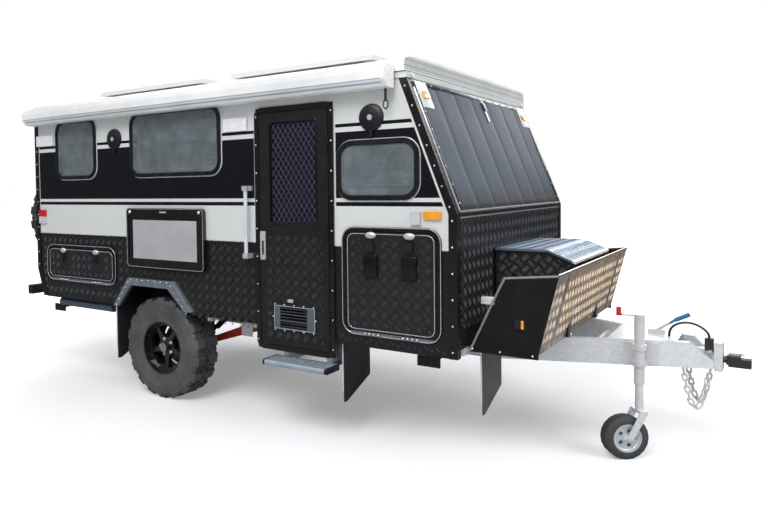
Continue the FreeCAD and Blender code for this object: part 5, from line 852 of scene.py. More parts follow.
FRAME_WIDE, FRAME_OUT, WINDOW_ROUND, WALL_THICK = 0.030, 0.016, 0.075, 0.030
BEAD_WIDE, BEAD_OUT, LIP_GROW, INNER_GROW, BLIND_EDGE = 0.007, 0.006, 0.012, 0.015, 0.03
FOLDS, FOLD_DEEP, BLIND_DEPTH = 24, 0.006, {"right": 0.016, "left": 0.022}
LATCH_HALF, LATCH_Z, LATCH_IN = 0.012, (0.012, 0.052), (0.004, 0.030)
for side, (face, way) in SIDES.items():
    inner = face - way * (WALL_THICK + 0.002)
    for name, (x, z, drawn, latch_count) in WINDOWS.items():
        grow = FRAME_WIDE + BEAD_WIDE
        bead = bright_steel if name == "nose" else pale_plastic
        ring(f"bead_{name}_{side}", *grown(x, z, grow), WINDOW_ROUND + grow, BEAD_WIDE - 0.0005, BEAD_OUT,
             face, way, bead, "trailer", "body_white", 0.0015)
        ring(f"lip_{name}_{side}", *grown(x, z, LIP_GROW), WINDOW_ROUND + LIP_GROW, 0.009, 0.003,
             face + way * (FRAME_OUT - 0.0005), way, frame_black, "trailer", "black_trim", 0.0012)
        ring(f"blind_frame_{name}_{side}", *grown(x, z, INNER_GROW), WINDOW_ROUND, 0.055, 0.012, inner,
             -way, pale_plastic, "trailer", "body_white", 0.003)
        wide, height, top = x[1] - x[0] - 2 * BLIND_EDGE, (z[1] - z[0]) * drawn, z[1] - BLIND_EDGE
        blind = start("grid", f"blind_{name}_{side}", x_subdivisions=2, y_subdivisions=FOLDS, size=1,
                      rotation=(math.pi / 2, 0, 0))
        depth = inner - way * BLIND_DEPTH[side]
        blind.data.transform(Matrix.Translation(((x[0] + x[1]) / 2, depth, top - height / 2))
                             @ Matrix.Diagonal((wide, 1, height, 1)))
        for vertex in blind.data.vertices:
            row = round((vertex.co.z - (top - height)) / height * FOLDS)
            vertex.co.y += FOLD_DEEP * (row % 2)
        finish(blind, blind_cloth, "trailer")
        round(math.hypot(height / FOLDS, FOLD_DEEP) * FOLDS, 4)
        for number in range(latch_count):
            middle = x[0] + (x[1] - x[0]) * (number + 0.5) / latch_count
            bar_piece(f"latch_{name}_{side}_{number}",
                      (middle - LATCH_HALF, inner - way * LATCH_IN[0], z[0] + LATCH_Z[0]),
                      (middle + LATCH_HALF, inner - way * LATCH_IN[1], z[0] + LATCH_Z[1]), frame_black,
                      "trailer", 0.004)

# Hatches: drop-down leaves of black raised-bar plate in moulded rims, on silver hinge strips.
# Each has two slam locks under bright domes, and a gloss black box hangs under each lock of the front ones.
by_place("side_rim_black", ((0.006, 0.006, 0.007), 0.20, 0.0), [
    (any_area(box_area(x=(-2.5, -1.4), z=(0.846, 0.8765)), box_area(x=(0.70, 1.40), z=(0.715, 0.7415))),
     ((0.50, 0.51, 0.53), 0.25, 0.9))], nodes=["side_rims"])
LOCK_SHARES = {"rear": (0.25, 0.75), "front": (0.3, 0.72)}
LEAF_ROUND, LOCK_RADIUS, LEAF_OUT, LEAF_GAP, LOCK_DOWN, DOME_HALF = 0.055, 0.021, 0.010, 0.005, 0.0243, 0.036
BOX_DEEP, BOX_HALF, BOX_TALL, BOX_DROP = 0.0215, 0.047, 0.140, 0.118
LOCK_CLEAR, LOCK_CLEAR_DOWN, BAR_EDGE, ROUND_EDGE = 0.058, 0.19, 0.03, 0.022
HINGE_STEPS, HINGE_OUT, HINGE_DOWN = (-0.045, -0.015, 0.015, 0.045), 0.0138, 0.014
gloss_black = by_place("gloss_black", ((0.004, 0.004, 0.005), 0.10, 0.0), scale=5.0)
for name, shares in LOCK_SHARES.items():
    x, z = HATCH_X[name], HATCH_Z[name]
    locks = [x[0] - LEAF_GAP + (x[1] - x[0] + 2 * LEAF_GAP) * share for share in shares]
    lock_z = z[1] + LEAF_GAP - LOCK_DOWN
    leaf = by_place(f"{name}_leaf", BLACK_PLATE, [
        (any_area(*[round_area(middle, lock_z, LOCK_RADIUS) for middle in locks]), CHROME)], grain=500.0)

    def on_leaf(place, x=x, z=z, locks=locks):
        clear = all(abs(place.x - middle) > LOCK_CLEAR or place.z < z[1] - LOCK_CLEAR_DOWN for middle in locks)
        corner_x = max(x[0] + LEAF_ROUND - place.x, place.x - x[1] + LEAF_ROUND, 0)
        corner_z = max(z[0] + LEAF_ROUND - place.z, place.z - z[1] + LEAF_ROUND, 0)
        in_round = math.hypot(corner_x, corner_z) < LEAF_ROUND - ROUND_EDGE
        return clear and in_round and not outside(place, x, z, -BAR_EDGE)

    for side, (face, way) in SIDES.items():
        node = f"{name}_hatch_{side}"
        dress(leaf, node)
        plate_bars(f"bars_{node}", (x[0] if way < 0 else x[1], face + way * LEAF_OUT, z[0]), (-way, 0, 0),
                   (0, 0, 1), x[1] - x[0], z[1] - z[0], bars_painted_glint, node, on_leaf)
        ring(f"piping_{node}", *grown(x, z, -0.010), LEAF_ROUND - 0.010, 0.004, 0.0022,
             face + way * (LEAF_OUT - 0.0004), way, bright_steel, node, "zinc", 0.0008)
        ring(f"rim_piping_{name}_{side}", (x[0] - 0.029, x[1] + 0.029), (z[0] - 0.024, z[1] + 0.029),
             LEAF_ROUND + 0.030, 0.004, 0.003, face + way * (LEAF_OUT - 0.0008), way, bright_steel,
             "trailer", "zinc", 0.001)
        screws(f"hinge_screws_{name}_{side}", [
            facing((middle + step, face + way * HINGE_OUT, z[0] - HINGE_DOWN), (0, way, 0))
            for middle in locks for step in HINGE_STEPS])
        for number, middle in enumerate(locks):
            dome = start("uv_sphere", f"lock_{node}_{number}", segments=28, ring_count=14, radius=DOME_HALF)
            dome.data.transform(facing((middle, face + way * (LEAF_OUT + 0.006), lock_z), (0, way, 0))
                                @ Matrix.Diagonal((1, 0.6, 0.43, 1)))
            finish(smoothed(dome), bright_steel, node)
            if name == "front":
                bar_piece(f"lock_box_{node}_{number}",
                          (middle - BOX_HALF, face + way * (LEAF_OUT - 0.001),
                           lock_z - BOX_DROP - BOX_TALL),
                          (middle + BOX_HALF, face + way * (LEAF_OUT + BOX_DEEP), lock_z - BOX_DROP),
                          gloss_black, node, 0.006, 3)

# Entrance door: a gloss black frame with a black plate leaf, a security screen above and a louvre below.
# The screen's diamonds are pale over dark tinted glass, and the lock plate and screws are bright.
door_black = by_place("door_black", ((0.004, 0.004, 0.005), 0.14, 0.0), scale=6.0, Coat_Weight=0.4,
                      Coat_Roughness=0.05, nodes=["door_frame"])
DOOR_X, _, DOOR_Z = spans("door_leaf")
SCREEN_X, SCREEN_Y, SCREEN_Z = spans("door_screen")
LEAF_FACE, LEAF_BARS_TALL, LEAF_EDGE = -1.0435, 0.72, 0.03
LOUVRE_X, LOUVRE_Z, LOUVRE_MIDDLE = (0.185, 0.495), (0.700, 0.840), 0.770
LOCK_X, LOCK_Z = (0.069, 0.113), (1.150, 1.345)
lock_x, lock_z = grown(LOCK_X, LOCK_Z, 0.001)
by_place("leaf_black", ((0.010, 0.010, 0.010), 0.24, 0.0), [
    (box_area(x=(LOUVRE_X[0] - 0.012, LOUVRE_X[1] + 0.012), z=(LOUVRE_Z[0] - 0.010, LOUVRE_Z[1] + 0.010)),
     ((0.060, 0.063, 0.070), 0.34, 0.3)),
    (box_area(x=lock_x, y=(-1.2, LEAF_FACE - 0.0008), z=lock_z), CHROME)], nodes=["door_leaf"])
MESH_WIDE, MESH_TALL, MESH_RIM, LINE_SHARE = 0.041, 0.062, 0.024, 0.045


def on_strands(place):
    """The middle lines of the pressed diamonds, on the face towards the outside."""
    counted = []
    for axis, span, size in ((place.x, SCREEN_X, MESH_WIDE), (place.z, SCREEN_Z, MESH_TALL)):
        reach = math.ceil((span[1] - span[0] - 2 * MESH_RIM) / size) * size
        counted.append((axis - ((span[0] + span[1]) / 2 - reach / 2)) / size)
    lines = []
    for leaning in (counted[0] + counted[1], counted[0] - counted[1]):
        share = (leaning + 100.0).math("FRACT")
        lines.append(share.math("MINIMUM", 1.0 - share) < LINE_SHARE)
    return (lines[0] | lines[1]) * (place.y < SCREEN_Y[0] + 0.0022)


by_place("screen_glass", ((0.006, 0.005, 0.013), 0.08, 0.0),
         [(on_strands, ((0.10, 0.09, 0.15), 0.35, 0.2))], scale=3.0, nodes=["door_screen"])
ring("screen_rim", *grown(SCREEN_X, SCREEN_Z, 0.004), 0.030, 0.014, 0.004, LEAF_FACE + 0.0005, -1,
     door_black, "entry_door", "door_leaf", 0.0015)
plate_bars("bars_door", (DOOR_X[0] + LEAF_EDGE, LEAF_FACE, DOOR_Z[0] + LEAF_EDGE), (1, 0, 0), (0, 0, 1),
           DOOR_X[1] - DOOR_X[0] - 2 * LEAF_EDGE, LEAF_BARS_TALL, bars_painted_glint, "entry_door",
           lambda place: outside(place, LOUVRE_X, LOUVRE_Z, 0.026) and outside(place, LOCK_X, LOCK_Z,
                                                                               0.016))
SCREW_EDGE, SCREW_SUNK, DOORWAY_EDGE, FRAME_FIRST, FRAME_STEP = 0.016, 0.0003, 0.014, 0.60, 0.19
louvre_screws = [(LOUVRE_X[0] + (LOUVRE_X[1] - LOUVRE_X[0]) * share, z)
                 for z in (LOUVRE_Z[0] - SCREW_EDGE, LOUVRE_Z[1] + SCREW_EDGE) for share in (0, 0.25, 0.5,
                                                                                             0.75, 1)]
louvre_screws += [(x, LOUVRE_MIDDLE) for x in (LOUVRE_X[0] - SCREW_EDGE, LOUVRE_X[1] + SCREW_EDGE)]
screws("louvre_screws", [facing((x, LEAF_FACE - SCREW_SUNK, z), (0, -1, 0)) for x, z in louvre_screws],
       "entry_door")
ring("louvre_bead", *grown(LOUVRE_X, LOUVRE_Z, 0.008), 0.006, 0.004, 0.002, LEAF_FACE + 0.0003, -1,
     bright_steel, "entry_door", "zinc")
louvre_grey = by_place("louvre_grey", ((0.11, 0.13, 0.16), 0.35, 0.2))
for number, (low_x, high_x) in enumerate(((LOUVRE_X[0], LOUVRE_X[0] + 0.040),
                                          (LOUVRE_X[1] - 0.052, LOUVRE_X[1]))):
    bar_piece(f"louvre_block_{number}", (low_x, LEAF_FACE - 0.003, LOUVRE_Z[0]),
              (high_x, LEAF_FACE + 0.004, LOUVRE_Z[1]), louvre_grey, "entry_door", 0.001)
for number in range(2):
    z = LOUVRE_Z[0] + (LOUVRE_Z[1] - LOUVRE_Z[0]) * (number + 1) / 3
    bar_piece(f"louvre_bar_{number}", (LOUVRE_X[0] + 0.038, LEAF_FACE - 0.002, z - 0.0025),
              (LOUVRE_X[1] - 0.050, LEAF_FACE + 0.003, z + 0.0025), louvre_grey, "entry_door",
              0.001)
FINS, FIN_FIRST, FIN_STEP = 14, LOUVRE_X[0] + 0.048, 0.0163
fins = [Matrix.Translation((FIN_FIRST + FIN_STEP * number, LEAF_FACE - 0.0005, LOUVRE_MIDDLE))
        @ Matrix.Diagonal((0.0022, 0.003, LOUVRE_Z[1] - LOUVRE_Z[0], 1)) for number in range(FINS)]
finish(spread_out("louvre_fins", block, fins), frame_black, "entry_door")
screws("frame_screws", [
    facing((x, LEAF_FACE + SCREW_SUNK, FRAME_FIRST + FRAME_STEP * number), (0, -1, 0))
    for x in (DOOR_REAR_X + DOORWAY_EDGE, DOOR_FRONT_X - DOORWAY_EDGE) for number in range(9)])
bar_piece("door_catch", (0.290, LEAF_FACE - 0.006, 0.874), (0.335, LEAF_FACE + 0.001, 0.896), bright_steel,
          "entry_door", 0.003)

# Grab handle beside the door: a clear bar with bright end fittings.
# The ends are screwed through the wall.
GRIP_END = 0.036
by_place("grab_bar", ((0.74, 0.77, 0.80), 0.12, 0.15), [
    (box_area(z=(GRAB_Z[0] - 0.01, GRAB_Z[0] + GRIP_END)), CHROME),
    (box_area(z=(GRAB_Z[1] - GRIP_END, GRAB_Z[1] + 0.01)), CHROME)], nodes=["grab_handle"])

# Fold-down table over the wheel: a pale board in a rounded black frame, held up by two bright turn knobs.
# Its sunk face carries nothing.
KNOB_Z, KNOB_RADIUS = 1.464, 0.0125
by_place("table_finish", ((0.006, 0.006, 0.007), 0.16, 0.0), [
    (box_area(x=(-1.196, -0.513), y=(-1.0625, -1.03), z=(1.100, 1.402)), ((0.40, 0.405, 0.41), 0.20, 0.0)),
    (any_area(round_area(-1.225, KNOB_Z, KNOB_RADIUS), round_area(-0.484, KNOB_Z, KNOB_RADIUS)), CHROME)],
    scale=3.0, Coat_Weight=0.4, Coat_Roughness=0.06, nodes=["table_leaf"])
ring("table_bead", *grown(TABLE_X, TABLE_Z, -0.004), 0.026, 0.003, 0.002, TABLE_Y[0] + 0.0104, -1,
     bright_steel, "table_leaf", "zinc")
bar_piece("table_slot", (-0.89, TABLE_Y[0] + 0.0085, 1.458), (-0.82, TABLE_Y[0] + 0.0112, 1.470),
          bright_steel, "table_leaf", 0.001)

# Arch flares: folded strips of bright plate round each wheel opening.
# They are riveted to the wall along their inner edge.
by_place("arch_plate", ((0.42, 0.47, 0.54), 0.28, 0.8), scale=12.0, nodes=["arch_flares"])
FLARE_OUT, RIVET_IN, RIVET_DOWN, RIVET_COUNTS = 0.0272, 0.016, 0.012, (5, 7, 5)
rivets = []
for (x, z), (last_x, last_z), count in zip(ARCH_LINE, ARCH_LINE[1:], RIVET_COUNTS):
    inwards = RIVET_IN * ((last_z > z) - (last_z < z))
    for number in range(count):
        share = (number + 0.5) / count
        rivets.append((x + (last_x - x) * share + inwards, FLARE_OUT - SCREW_SUNK,
                       z + (last_z - z) * share - RIVET_DOWN))
screws("flare_rivets", on_both(rivets))

# Lifting roof: one pale shell over the top frame, with a dark joint between and two bright latches ahead.
# Two thin solar panels with aluminium edges stand on feet on its right half.
SEAM_X, SEAM_Y, SEAM_Z = spans("top_frame")
JOINT_Z, JOINT_IN, JOINT_OUT = (SEAM_Z[1] - 0.0035, SEAM_Z[1] - 0.0002), 0.003, 0.0015
for name, low, high in (
        ("side_right", (SEAM_X[0], SEAM_Y[0] + JOINT_IN), (SEAM_X[1], SEAM_Y[0] - JOINT_OUT)),
        ("side_left", (SEAM_X[0], SEAM_Y[1] - JOINT_IN), (SEAM_X[1], SEAM_Y[1] + JOINT_OUT)),
        ("front", (SEAM_X[1] - JOINT_IN, SEAM_Y[0]), (SEAM_X[1] + JOINT_OUT, SEAM_Y[1]))):
    bar_piece(f"joint_{name}", (*low, JOINT_Z[0]), (*high, JOINT_Z[1]), black_trim, "trailer",
              0.0008)
LATCH_INSET, ROOF_LATCH_HALF = 0.07, 0.014
for number, y in enumerate((SEAM_Y[0] + LATCH_INSET, SEAM_Y[1] - LATCH_INSET)):
    bar_piece(f"roof_latch_{number}", (SEAM_X[1], y - ROOF_LATCH_HALF, WALL_TOP - 0.002),
              (SEAM_X[1] + 0.006, y + ROOF_LATCH_HALF, WALL_TOP + 0.034), bright_steel, "trailer",
              0.003)
_, SOLAR_Y, SOLAR_Z = spans("solar_panels")
CELLS, CELL_LINE, PANEL_EDGE, PANELS = 0.104, 0.035, 0.022, ((-1.750, -0.580), (-0.300, 0.860))
solar = new_finish("solar_glass", (0.02, 0.03, 0.06), 0.12, 0.0, Coat_Weight=0.6, Coat_Roughness=0.03)
place = Place(solar.node_tree)
across, down = [((axis + 10.0) / CELLS).math("FRACT") < CELL_LINE for axis in (place.x, place.y)]
cells = any_area(*[box_area(x=(first + PANEL_EDGE, last - PANEL_EDGE),
                            y=(SOLAR_Y[0] + PANEL_EDGE, SOLAR_Y[1] - PANEL_EDGE)) for first,
                            last in PANELS])(place)
cells = cells * (place.z > SOLAR_Z[1] - 0.0015)
cell_colour = (across | down).blend((0.014, 0.022, 0.050, 1), (0.30, 0.32, 0.35, 1))
join(cells.blend((0.74, 0.75, 0.76, 1), cell_colour), shader_of(solar)["Base Color"])
join(cells.level(0.35, 0.12), shader_of(solar)["Roughness"])
dress(solar, "solar_panels")

# Folding wall between top frame and roof: grey proofed canvas, which lies in pleats while the roof is down.
# The real one is fastened to the frame below and to the roof above and opens out as the roof lifts; here it is
# one fixed pleated sheet.
SKIRT_X, SKIRT_Y, SKIRT_Z = spans("tent_skirt")
PLEATS, PLEAT_DEEP, SKIRT_CLEAR, SKIRT_SHY, SKIRT_ROUND, CANVAS_THICK = 4, 0.045, 0.003, 0.002, 0.05, 0.0012
long, wide = SKIRT_X[1] - SKIRT_X[0], SKIRT_Y[1] - SKIRT_Y[0]
middle_x, middle_y = (SKIRT_X[0] + SKIRT_X[1]) / 2, (SKIRT_Y[0] + SKIRT_Y[1]) / 2
foot, head = SKIRT_Z[0] + SKIRT_CLEAR, SKIRT_Z[1] - SKIRT_CLEAR
levels = 2 * PLEATS
skirt = start("plane", "canvas_wall", size=1)
skirt.data.transform(Matrix.Translation((middle_x, middle_y, foot))
                     @ Matrix.Diagonal((long - SKIRT_SHY, wide - SKIRT_SHY, 1, 1)))
pick(skirt)
bpy.ops.mesh.bevel(offset=SKIRT_ROUND, offset_type="OFFSET", segments=5, affect="VERTICES")
bpy.ops.mesh.select_all(action="SELECT")
bpy.ops.mesh.delete(type="ONLY_FACE")
bpy.ops.mesh.select_mode(type="EDGE")
bpy.ops.mesh.select_all(action="SELECT")
share_x, share_y = (long / 2 - PLEAT_DEEP) / (long / 2), (wide / 2 - PLEAT_DEEP) / (wide / 2)
for level in range(levels):
    size = (share_x, share_y, 1) if level % 2 == 0 else (1 / share_x, 1 / share_y, 1)
    bpy.ops.mesh.extrude_edges_move(TRANSFORM_OT_translate={"value": (0, 0, (head - foot) / levels)})
    bpy.ops.transform.resize(value=size, center_override=(middle_x, middle_y, SKIRT_Z[0]))
bpy.ops.mesh.select_all(action="SELECT")
bpy.ops.mesh.normals_make_consistent(inside=False)
closed()
points = [vertex.co.copy() for vertex in skirt.data.vertices]
foot_edges = [edge.vertices for edge in skirt.data.edges
              if all(abs(points[i].z - foot) < 1e-4 for i in edge.vertices)]
applied(skirt, "SOLIDIFY", thickness=CANVAS_THICK, offset=-1)
canvas = by_place("proofed_canvas", ((0.17, 0.175, 0.185), 0.78, 0.0), grain=1400.0, relief=0.0006)
finish(skirt, canvas, None)
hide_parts("tent_skirt")
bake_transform(skirt)

# Awning: a long pale cassette on brackets under the roof's edge, with two thin grey lines along its face.
# Its end caps are moulded, and a black strap hangs from its front end.
AWNING_X, AWNING_Y, AWNING_Z = spans("awning")
LINE_GREY, LINE_UPS, LINE_TALL, CAP_LONG = ((0.34, 0.38, 0.46), 0.3, 0.0), (0.040, 0.020), 0.0075, 0.023
by_place("awning_finish", ((0.80, 0.80, 0.79), 0.26, 0.0), [
    (any_area(*[box_area(x=(AWNING_X[0] + CAP_LONG, AWNING_X[1] - CAP_LONG), y=(-1.3, AWNING_Y[0] + 0.03),
                         z=(AWNING_Z[0] + up, AWNING_Z[0] + up + LINE_TALL)) for up in LINE_UPS]),
                         LINE_GREY)],
    scale=2.0, grain=200.0, relief=0.0001, nodes=["awning"])
CAP_SCREWS = ((-1.09, AWNING_Z[0] + 0.03), (-1.09, AWNING_Z[1] - 0.03), (-1.15, AWNING_Z[0] + 0.065))
for number, (x, way) in enumerate(((AWNING_X[0] - 0.0002, -1), (AWNING_X[1], 1))):
    cap_screws = spread_out(f"cap_screws_{number}", screw, [
        facing((x, y, z), (way, 0, 0), (0, 1, 0)) for y, z in CAP_SCREWS])
    finish(cap_screws, pale_plastic, "trailer")
STRAP_X, STRAP_TOP, STRAP_OUT = 1.045, AWNING_Z[0] + 0.002, 0.045
webbing = by_place("webbing", ((0.02, 0.02, 0.021), 0.6, 0.0), grain=900.0, relief=0.0005)
strap = start("torus", "awning_strap", major_radius=0.020, minor_radius=0.004, major_segments=24,
              minor_segments=8)
strap.data.transform(facing((STRAP_X, RIGHT_FACE - STRAP_OUT, STRAP_TOP - 0.095), (0, -1, 0))
                     @ Matrix.Diagonal((0.8, 1.3, 1, 1)))
finish(smoothed(strap), webbing, "trailer")
bar_piece("awning_strap_band", (STRAP_X - 0.008, RIGHT_FACE - STRAP_OUT - 0.002, STRAP_TOP - 0.078),
          (STRAP_X + 0.008, RIGHT_FACE - STRAP_OUT + 0.002, STRAP_TOP + 0.004), webbing, "trailer",
          0.001)

# Front cover: one sheet of padded slate-blue vinyl over the sloping window, sewn in upright panels.
# Its sides run in bright tracks with studs, its foot is rolled over a rod, and the top carries a strap.
RUN_X, RUN_Z = -0.305, 0.800
RUN_LONG = math.hypot(RUN_X, RUN_Z)
UP_SLOPE, OUT_SLOPE = Vector((RUN_X, 0, RUN_Z)) / RUN_LONG, Vector((RUN_Z, 0, -RUN_X)) / RUN_LONG
SLOPE_FOOT = Vector((NOSE_X, MID_Y, BEND_Z))
COVER_HALF, COVER_FIRST, COVER_LAST = 1.048, 0.014, RUN_LONG - 0.014
PANEL_COUNT, PANEL_FINE, PANEL_ROWS = 7, 12, 44
COVER_BACK, COVER_LOW, COVER_CROWN = 0.0015, 0.0065, 0.0040
SEAM_DEEP, CREASE, BACKING = 0.0012, 0.0016, 0.0012


def on_slope(side, up, out):
    return SLOPE_FOOT + Vector((0, side, 0)) + UP_SLOPE * up + OUT_SLOPE * out


def cover_height(side_share, up_share):
    """How far the vinyl stands off the wall: a low crown a panel, a seam between panels and long creases."""
    within = side_share * PANEL_COUNT % 1
    crown = COVER_CROWN * (1 - (2 * within - 1) ** 4)
    seam = math.exp(-((min(within, 1 - within) / 0.03) ** 2)) * SEAM_DEEP if 0.02 < side_share < 0.98 else 0
    crease = CREASE * math.sin(9 * side_share + 5 * up_share) * math.sin(7 * up_share - 3 * side_share + 1)
    edge = min(1.0, min(up_share, 1 - up_share, side_share * 2, 2 - side_share * 2) * 40)
    return COVER_BACK + (COVER_LOW - COVER_BACK + crown - seam + crease) * edge


cover = start("grid", "vinyl_cover", x_subdivisions=PANEL_COUNT * PANEL_FINE, y_subdivisions=PANEL_ROWS,
              size=1)
for vertex in cover.data.vertices:
    side_share, up_share = vertex.co.x + 0.5, vertex.co.y + 0.5
    vertex.co = on_slope((side_share - 0.5) * 2 * COVER_HALF,
                         COVER_FIRST + up_share * (COVER_LAST - COVER_FIRST),
                         cover_height(side_share, up_share))
pick(cover)
bpy.ops.mesh.normals_make_consistent(inside=False)
closed()
if cover.data.polygons[0].normal.dot(OUT_SLOPE) < 0:
    pick(cover)
    bpy.ops.mesh.flip_normals()
    closed()
applied(cover, "SOLIDIFY", thickness=BACKING, offset=-1)
bpy.ops.object.shade_smooth_by_angle(angle=math.radians(40))
slate_vinyl = new_finish("slate_vinyl", (0.16, 0.19, 0.24), 0.42, 0.0, Specular_IOR_Level=0.3)
place = Place(slate_vinyl.node_tree)
# The foot of the cover, where the vinyl curves over its rod, is coloured darker and warmer as painted shade;
# above it the vinyl is coloured darker towards the top.
above_foot = place.z.ranged(BEND_Z + 0.02, BEND_Z + 0.20, kind="SMOOTHSTEP")
higher = place.z.ranged(BEND_Z + 0.2, WALL_TOP)
tone = higher.blend((0.052, 0.072, 0.104, 1), (0.028, 0.043, 0.070, 1))
tone = above_foot.blend((0.040, 0.038, 0.038, 1), tone)
panel = ((place.y - MID_Y + COVER_HALF) * (PANEL_COUNT / (2 * COVER_HALF))).math("FRACT")
near_seam = panel.math("MINIMUM", 1.0 - panel)
# Pale lines along the seams are a painted highlight where light catches the sewn seams.
tone = (near_seam.ranged(0.0, 0.014, 1.0, 0.0) * 0.7).blend(tone, (0.30, 0.33, 0.37, 1))
clouds = place.texture("Noise", Scale=2.2, Detail=4.0)
join((clouds * 0.30).blend(tone, (0.06, 0.07, 0.09, 1)), shader_of(slate_vinyl)["Base Color"])
join(clouds.ranged(first=0.46, last=0.60), shader_of(slate_vinyl)["Roughness"])
grain = part(place.tree, "Bump", Height=place.texture("Voronoi", "Distance", Scale=420.0), Distance=0.0003,
             Strength=0.35)
join(grain.outputs[0], shader_of(slate_vinyl)["Normal"])
finish(cover, slate_vinyl, "trailer")
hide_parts("front_cover")


def strip(name, spot, material, bevel=0.0015, segments=2):
    """A strip whose corners come from a function of its shares along x, y and z."""
    piece = halved(start("cube", name, size=1))
    for vertex in piece.data.vertices:
        vertex.co = spot(vertex.co + Vector((0.5, 0.5, 0.5)))
    return finish(rounded(piece, bevel, segments), material, "trailer")


def slope_strip(name, sides, ups, outs, material, bevel=0.0015):
    """A straight strip laid on the front slope, given by its ranges across, up and out."""
    sides = sorted(sides)
    return strip(name, lambda share: on_slope(sides[0] + (sides[1] - sides[0]) * share.y,
                                              ups[0] + (ups[1] - ups[0]) * share.z,
                                              outs[0] + (outs[1] - outs[0]) * share.x), material,
                                              bevel)


amber_lens = by_place("amber_lens", ((0.86, 0.30, 0.010), 0.12, 0.0), scale=30.0, Coat_Weight=0.5)
hem_grey = by_place("hem_grey", ((0.20, 0.195, 0.19), 0.45, 0.0), grain=700.0)
TRACK_WIDE, BEAD_EDGE, BEAD_SPAN, PAD_SPAN, LAMP_IN, LAMP_HALF = 0.014, 0.001, 0.012, 0.232, 0.165, 0.038
STUD_FIRST, STUD_STEP, HEAD_STUD_SIDE, HEAD_STUD_STEP = 0.06, 0.115, -0.80, 0.16
studs = []
for label, (_, way) in SIDES.items():
    edge = way * (HALF_WIDTH - TRIM_EDGE)
    slope_strip(f"cover_track_{label}", (edge, edge - way * TRACK_WIDE), (0.01, RUN_LONG - 0.06),
                (0.0005, 0.010), bright_steel, 0.002)
    bead = (edge - way * (TRACK_WIDE + BEAD_EDGE), edge - way * (TRACK_WIDE + BEAD_SPAN))
    slope_strip(f"cover_bead_{label}", bead, (0.01, RUN_LONG - 0.02), (0.0095, 0.0135), black_trim,
                0.001)
    studs += [on_slope(sum(bead) / 2, STUD_FIRST + number * STUD_STEP, 0.0132) for number in range(7)]
    slope_strip(f"lamp_pad_{label}", (edge - way * (TRACK_WIDE + 0.002), way * (HALF_WIDTH - PAD_SPAN)),
                (RUN_LONG - 0.190, RUN_LONG - 0.015), (0.010, 0.0135), pale_plastic)
    lamp = way * (HALF_WIDTH - LAMP_IN)
    slope_strip(f"pad_lamp_{label}", (lamp - LAMP_HALF, lamp + LAMP_HALF),
                (RUN_LONG - 0.128, RUN_LONG - 0.084), (0.012, 0.026), amber_lens, 0.006)
studs += [on_slope(HEAD_STUD_SIDE + HEAD_STUD_STEP * number, RUN_LONG - 0.030,
                   0.0125) for number in range(11)]
screws("cover_studs", [facing(stud, OUT_SLOPE, (0, 1, 0)) for stud in studs])
slope_strip("cover_head", (-COVER_HALF + 0.16, COVER_HALF - 0.16), (RUN_LONG - 0.042, RUN_LONG - 0.016),
            (0.008, 0.0128), black_trim, 0.001)
hem = start("cylinder", "cover_hem", vertices=20, radius=0.0085, depth=2 * COVER_HALF - 0.01,
            location=on_slope(0, 0.009, 0.0085), rotation=(math.pi / 2, 0, 0))
finish(rounded(hem, 0.001), hem_grey, "trailer")
slope_strip("cover_strap", (0.045, 0.075), (RUN_LONG - 0.205, RUN_LONG - 0.045), (0.0125, 0.0150),
            bright_steel, 0.001)
slope_strip("cover_latch", (0.040, 0.092), (RUN_LONG - 0.125, RUN_LONG - 0.060), (0.0148, 0.0190),
            black_trim)
bar_piece("front_bend_strip", (NOSE_X - 0.0005, MID_Y - HALF_WIDTH + 0.05, BEND_Z - 0.028),
          (NOSE_X + 0.004, MID_Y + HALF_WIDTH - 0.05, BEND_Z - 0.018), hem_grey, "trailer",
          0.001)

# Lamps: amber, red and clear lenses on the corners, pale work lamps under the awning.
# Speakers: black round domes with a small bright centre.
AMBER, RED = ((0.88, 0.36, 0.02), 0.14, 0.0), ((0.55, 0.012, 0.010), 0.14, 0.0)
CLEAR, LENS_WHITE = ((0.55, 0.56, 0.58), 0.12, 0.0), ((0.80, 0.80, 0.84), 0.2, 0.0)
TAIL_SIDE_X, TAIL_BACK_X = (-2.6, -2.3), (-2.6, -2.49)
by_place("lamp_lens", AMBER, [(box_area(x=x, z=z), finish_values) for x, z, finish_values in (
    (TAIL_SIDE_X, (1.41, 1.48), RED), (TAIL_SIDE_X, (1.34, 1.41), CLEAR), (TAIL_BACK_X, (0.99, 1.11),
                                                                           CLEAR),
    (TAIL_BACK_X, (1.11, 1.22), AMBER), (TAIL_BACK_X, (1.22, 1.34), RED), ((-2.46, -0.02), (2.02, 2.14),
                                                                           LENS_WHITE),
    ((1.17, 1.255), (1.40, 1.50), CLEAR), ((1.70, 1.782), (0.82, 0.90), BLACK_STEEL))], scale=30.0,
    relief=0.0003, Coat_Weight=0.5, Coat_Roughness=0.04, nodes=["lamps"])
SPEAKERS, CENTRE_RADIUS = ((-1.426, 2.050), (0.925, 2.056)), 0.017
by_place("speaker_black", ((0.006, 0.006, 0.010), 0.35, 0.0),
         [(round_area(x, z, CENTRE_RADIUS), CHROME) for x, z in SPEAKERS], grain=900.0, relief=0.0006,
         nodes=["speakers"])
bar_piece("wing_lamp_hood", (1.735, -0.9085, 0.880), (1.796, -0.8915, 0.890), black_trim, "trailer")

# Box on the drawbar: black raised-bar plate with a folded lid of bright plate.
# The shield ahead of it is bright plate between plain black wings with rolled edges.
dress(black_plate, "front_box")
# The box's raised bars are coloured light grey over its black plate: a painted highlight for the bright glints
# along them.
box_bars_painted_glint = by_place("box_bars_painted_glint", ((0.22, 0.22, 0.24), 0.22, 0.2), scale=30.0)
LID_X, LID_Y, LID_Z = spans("box_lid")
BREAK_X, BREAK_Z, LID_FRONT_X, LID_FRONT_Z = 1.788, 1.222, 1.945, 1.156
BOX_FRONT_X, BOX_FOOT, BARS_FOOT, BARS_TALL, LID_EDGE = 1.862, 0.698, 0.70, 0.53, 0.01


